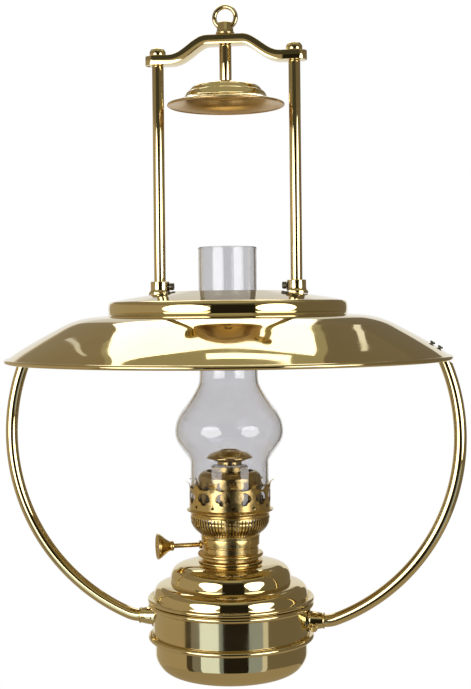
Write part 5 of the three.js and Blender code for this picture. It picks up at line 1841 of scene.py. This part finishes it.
def flame_disc():
    """The spreader, from inside its spigot out over the slotted neck and the belly to its hollow top."""
    seat = low("flame_spreader") + SPREADER_SPIGOT
    flange_top = seat + SPREADER_FLANGE
    belly = flange_top + SPREADER_NECK_HEIGHT
    edge = belly + SPREADER_BELLY
    top = edge + SPREADER_HEIGHT
    spigot = draft_radius - TUBE_WALL - RUNNING_GAP
    bore = spigot - 2 * TUBE_WALL
    flange = draft_radius - SEAT_GAP
    shoulder = [
        (SPREADER_RADIUS * 0.985, edge + SPREADER_EDGE),
        (SPREADER_RADIUS * 0.9, edge + SPREADER_HEIGHT * 0.36),
        (SPREADER_RADIUS * 0.72, edge + SPREADER_HEIGHT * 0.62),
        (SPREADER_TOP_RADIUS * 1.12, edge + SPREADER_HEIGHT * 0.9),
        (SPREADER_TOP_RADIUS, top),
    ]
    section = [
        (0, belly - 2 * TUBE_WALL),
        (bore, belly - 2 * TUBE_WALL),
        (bore, seat - SPREADER_SPIGOT),
        (spigot, seat - SPREADER_SPIGOT),
        (spigot, seat),
        (flange, seat),
        (flange, flange_top),
        (SPREADER_NECK_RADIUS, flange_top),
        (SPREADER_NECK_RADIUS, belly),
        (SPREADER_RADIUS * 0.62, belly + SPREADER_EDGE / 2),
        (SPREADER_RADIUS * 0.97, edge - 0.3 * MM),
        (SPREADER_RADIUS, edge),
        (SPREADER_RADIUS, edge + SPREADER_EDGE * 0.6),
        *flowing(shoulder, 3),
        (SPREADER_TOP_RADIUS - SPREADER_EDGE, top),
        (SPREADER_TOP_RADIUS - 1.5 * SPREADER_EDGE, top - SPREADER_EDGE * 0.8),
        (0, top - SPREADER_EDGE * 0.6),
    ]
    disc = turned("flame_disc", section, steps=108)
    size = (SPREADER_SLOT_DEPTH, SPREADER_SLOT_WIDTH, SPREADER_NECK_HEIGHT * 0.62)
    place = (SPREADER_NECK_RADIUS, 0, flange_top + SPREADER_NECK_HEIGHT * 0.45)
    return smooth(cut_by(disc, slots_round(SPREADER_SLOTS, size, place)))


finished(flame_disc(), burner_brass, "flame_spreader", "spreader")
print("spreader slots:", SPREADER_SLOTS)

# %% [markdown]
# The wick tube shows as a bright rim round the white edge of the wick. The draft tube and the two star
# wheels stay as the frame has them: nothing of them shows, and they only need their metal.

# %% Wick tube and wick
WICK_TUBE_INNER = WICK_OUTER + SEAT_GAP
WICK_TUBE_FLANGE = 1 * MM
WICK_SEAM = 20
WICK_GAP = 34
WICK_ROWS = 24
WICK_EDGE = 0.3 * MM


def wick_tube():
    """The tube on its flange, with a window for the star wheels."""
    outer = WICK_TUBE_INNER + TUBE_WALL
    top, bottom = high("wick_tube"), low("wick_tube")
    flange = base_waist - BASE_WALL - SEAT_GAP
    shelf = bottom + WICK_TUBE_FLANGE
    section = [
        (WICK_TUBE_INNER, bottom),
        (flange, bottom),
        (flange, shelf),
        (outer + FINE_EDGE, shelf),
        (outer, shelf + FINE_EDGE),
        (outer, top - 0.25 * MM),
        (outer - 0.2 * MM, top),
        (WICK_TUBE_INNER, top),
    ]
    tube = turned("drawn_wick_tube", section, steps=96, closed=True)
    width = 2 * draft_radius * math.sin(math.radians(WICK_GAP / 2)) * 0.7
    window = block((2 * outer, width, BASKET_HEIGHT * 0.7), (outer, 0, base_top + BASKET_HEIGHT * 0.55))
    return smooth(cut_by(tube, [rotated(window, "Z", WICK_SEAM)]))


def cotton_wick():
    """A band bent round, open at its seam: a corner that is extruded upwards, spun and thickened."""
    bottom = low("wick")
    rise = (high("wick") - bottom) / WICK_ROWS
    middle = (WICK_INNER + WICK_OUTER) / 2
    band = drawn("cotton_wick", [(middle, 0, bottom + rise * row) for row in range(WICK_ROWS + 1)])
    spin_round(72, math.radians(360 - WICK_GAP), axis=(0, 0, -1))
    to_object_mode()
    rotated(band, "Z", WICK_SEAM + WICK_GAP / 2)
    tidy_mesh(band)
    thickened(band, WICK_OUTER - WICK_INNER, offset=0)
    tidy_mesh(band)
    return smooth(softened(band, WICK_EDGE, segments=3, angle=60), 50)


finished(wick_tube(), burner_brass, "wick_tube", "burner")
finished(cotton_wick(), cotton, "wick", "wick")
repainted("draft_tube", burner_brass)
repainted("star_wheel_front", dark_steel)
repainted("star_wheel_back", dark_steel)
print("wick top, mm:", round(high("wick") / MM, 1))

# %% [markdown]
# The winder raises the wick: a shaft with a trumpet knob, in a small bush on the side of the base.

# %% Winder bush
SHAFT_RADIUS = 1.4 * MM
BUSH_LENGTH = 5.6 * MM
bush_middle = math.sqrt(BASE_NECK_RADIUS**2 - WINDER_OFFSET**2)
bush_end = bush_middle + BUSH_LENGTH / 2 + BUSH_RADIUS
shaft_bore = SHAFT_RADIUS + SEAT_GAP


def winder_bush():
    """The bush in the base's wall."""
    start = bush_middle - BUSH_LENGTH / 2
    section = [
        (shaft_bore, start),
        (BUSH_RADIUS, start),
        (BUSH_RADIUS, bush_end - 2 * FINE_EDGE),
        *head_edge(BUSH_RADIUS, bush_end, FINE_EDGE),
        (shaft_bore, bush_end),
    ]
    return smooth(on_winder(turned("winder_bushing", section, steps=48, closed=True)))


finished(winder_bush(), burner_brass, "winder_bush", "burner")
print("bush length, mm:", round((bush_end - bush_middle + BUSH_LENGTH / 2) / MM, 1))

# %% [markdown]
# The shaft and the knob are turned apart and ride on one body, as the knob is pressed on the shaft.

# %% Shaft and knob
SHAFT_OUTER_RADIUS = 1.9 * MM
SHAFT_EDGE = 0.3 * MM
KNOB_RADIUS = 10.5 * MM
KNOB_LENGTH = 14 * MM
KNOB_NECK_RADIUS = 4 * MM
KNOB_RIM = 1.5 * MM
KNOB_NECK_SHARES = [(0.7, 0), (0.95, 0.04), (1, 0.1), (1, 0.16), (0.93, 0.2)]
KNOB_FLARE_SHARES = [
    (0.36, 0.23), (0.43, 0.32), (0.54, 0.44), (0.67, 0.56), (0.79, 0.67), (0.9, 0.78), (0.98, 0.87),
]
WINDER_REACH = 56 * MM
WINDER_INNER_END = 9 * MM
shaft_end = WINDER_REACH - KNOB_LENGTH / 2
knob_face = WINDER_REACH + KNOB_RIM
knob_start = knob_face - KNOB_LENGTH


def winder_shaft():
    """The shaft, which is thicker between the bush and the knob."""
    step_end = knob_start - SEAT_GAP
    section = [
        (0, -WINDER_INNER_END),
        *foot_edge(SHAFT_RADIUS, -WINDER_INNER_END, SHAFT_EDGE, 3),
        (SHAFT_RADIUS, bush_end + SEAT_GAP),
        *foot_edge(SHAFT_OUTER_RADIUS, bush_end + SEAT_GAP, SHAFT_EDGE, 3),
        (SHAFT_OUTER_RADIUS, step_end),
        (SHAFT_RADIUS, step_end),
        (SHAFT_RADIUS, shaft_end),
        (0, shaft_end),
    ]
    return smooth(on_winder(turned("winding_shaft", section, steps=32)))


def winder_knob():
    """A trumpet: a bead at its neck, a flare, and a dished face with a thin rim."""
    floor_level = shaft_end + SEAT_GAP
    dish = [(KNOB_RADIUS * 0.82, 0.7), (KNOB_RADIUS * 0.4, 1.1), (0, 0.8)]
    section = [
        (0, floor_level),
        (shaft_bore, floor_level),
        (shaft_bore, knob_start),
        *flowing(scaled(KNOB_NECK_SHARES, 0, KNOB_NECK_RADIUS, knob_start, KNOB_LENGTH), 3),
        *flowing(scaled(KNOB_FLARE_SHARES, 0, KNOB_RADIUS, knob_start, KNOB_LENGTH), 4),
        *arc(KNOB_RADIUS - SMALL_EDGE, knob_face - 0.6 * MM, SMALL_EDGE, -60, 90, 6),
        (KNOB_RADIUS - 1.2 * MM, knob_face - 0.3 * MM),
        *flowing([(r, knob_face - KNOB_RIM * depth) for r, depth in dish], 4),
    ]
    return smooth(on_winder(turned("trumpet_knob", section, steps=80)), 40)


finished(winder_shaft(), burner_brass, "winder_shaft", "winder")
finished(winder_knob(), burner_brass, "winder_knob", "winder")
print("knob radius, mm:", round(KNOB_RADIUS / MM, 1))

# %% [markdown]
# # The glass
# The chimney is blown in one piece: a straight fitter, a bulge round the flame, and a long tube. It is
# a closed shell with a real wall, so that light bends at both of its faces, and its cut rims are fired
# round.

# %% Chimney
GLASS_WALL = 2 * MM
GLASS_RIM = 3 * MM
TUBE_RADIUS = 23.7 * MM
BULGE_RADIUS = 43.9 * MM
FITTER_HEIGHT = 36 * MM
BULGE_HEIGHT = 66 * MM
LOWER_GLASS_SHARES = [
    (0, -0.12), (0.005, 0), (0.07, 0.11), (0.28, 0.28), (0.58, 0.48), (0.85, 0.69), (0.97, 0.86), (1, 1),
]
UPPER_GLASS_SHARES = [
    (0.99, 0.08), (0.93, 0.22), (0.77, 0.38), (0.51, 0.55), (0.3, 0.7), (0.13, 0.84), (0.03, 0.96), (0, 1.08),
]


def glass_line():
    """The outer face of the glass, from its foot up to its rim."""
    foot, top = low("chimney"), high("chimney")
    shoulder = foot + FITTER_HEIGHT
    rise = BULGE_HEIGHT * 3 / 8
    fitter_run, tube_run = BULGE_RADIUS - FITTER_RADIUS, BULGE_RADIUS - TUBE_RADIUS
    bulge = [
        *scaled(LOWER_GLASS_SHARES, FITTER_RADIUS, fitter_run, shoulder, rise),
        *scaled(UPPER_GLASS_SHARES, TUBE_RADIUS, tube_run, shoulder + rise, BULGE_HEIGHT - rise),
    ]
    return [
        (FITTER_RADIUS, foot),
        (FITTER_RADIUS, foot + GLASS_RIM),
        *flowing(bulge, 5),
        (TUBE_RADIUS, top - GLASS_RIM),
        (TUBE_RADIUS, top),
    ]


def blown_chimney():
    """The glass with its wall, which lies inside the line when that runs downwards."""
    section = sheet_of(glass_line()[::-1], GLASS_WALL)
    glass = turned("blown_chimney", section, steps=192, closed=True)
    return smooth(softened(glass, GLASS_WALL * 0.4, segments=4, angle=60), 60)


finished(blown_chimney(), clear_glass, "chimney", "chimney")
print("glass height, mm:", round((high("chimney") - low("chimney")) / MM, 1))
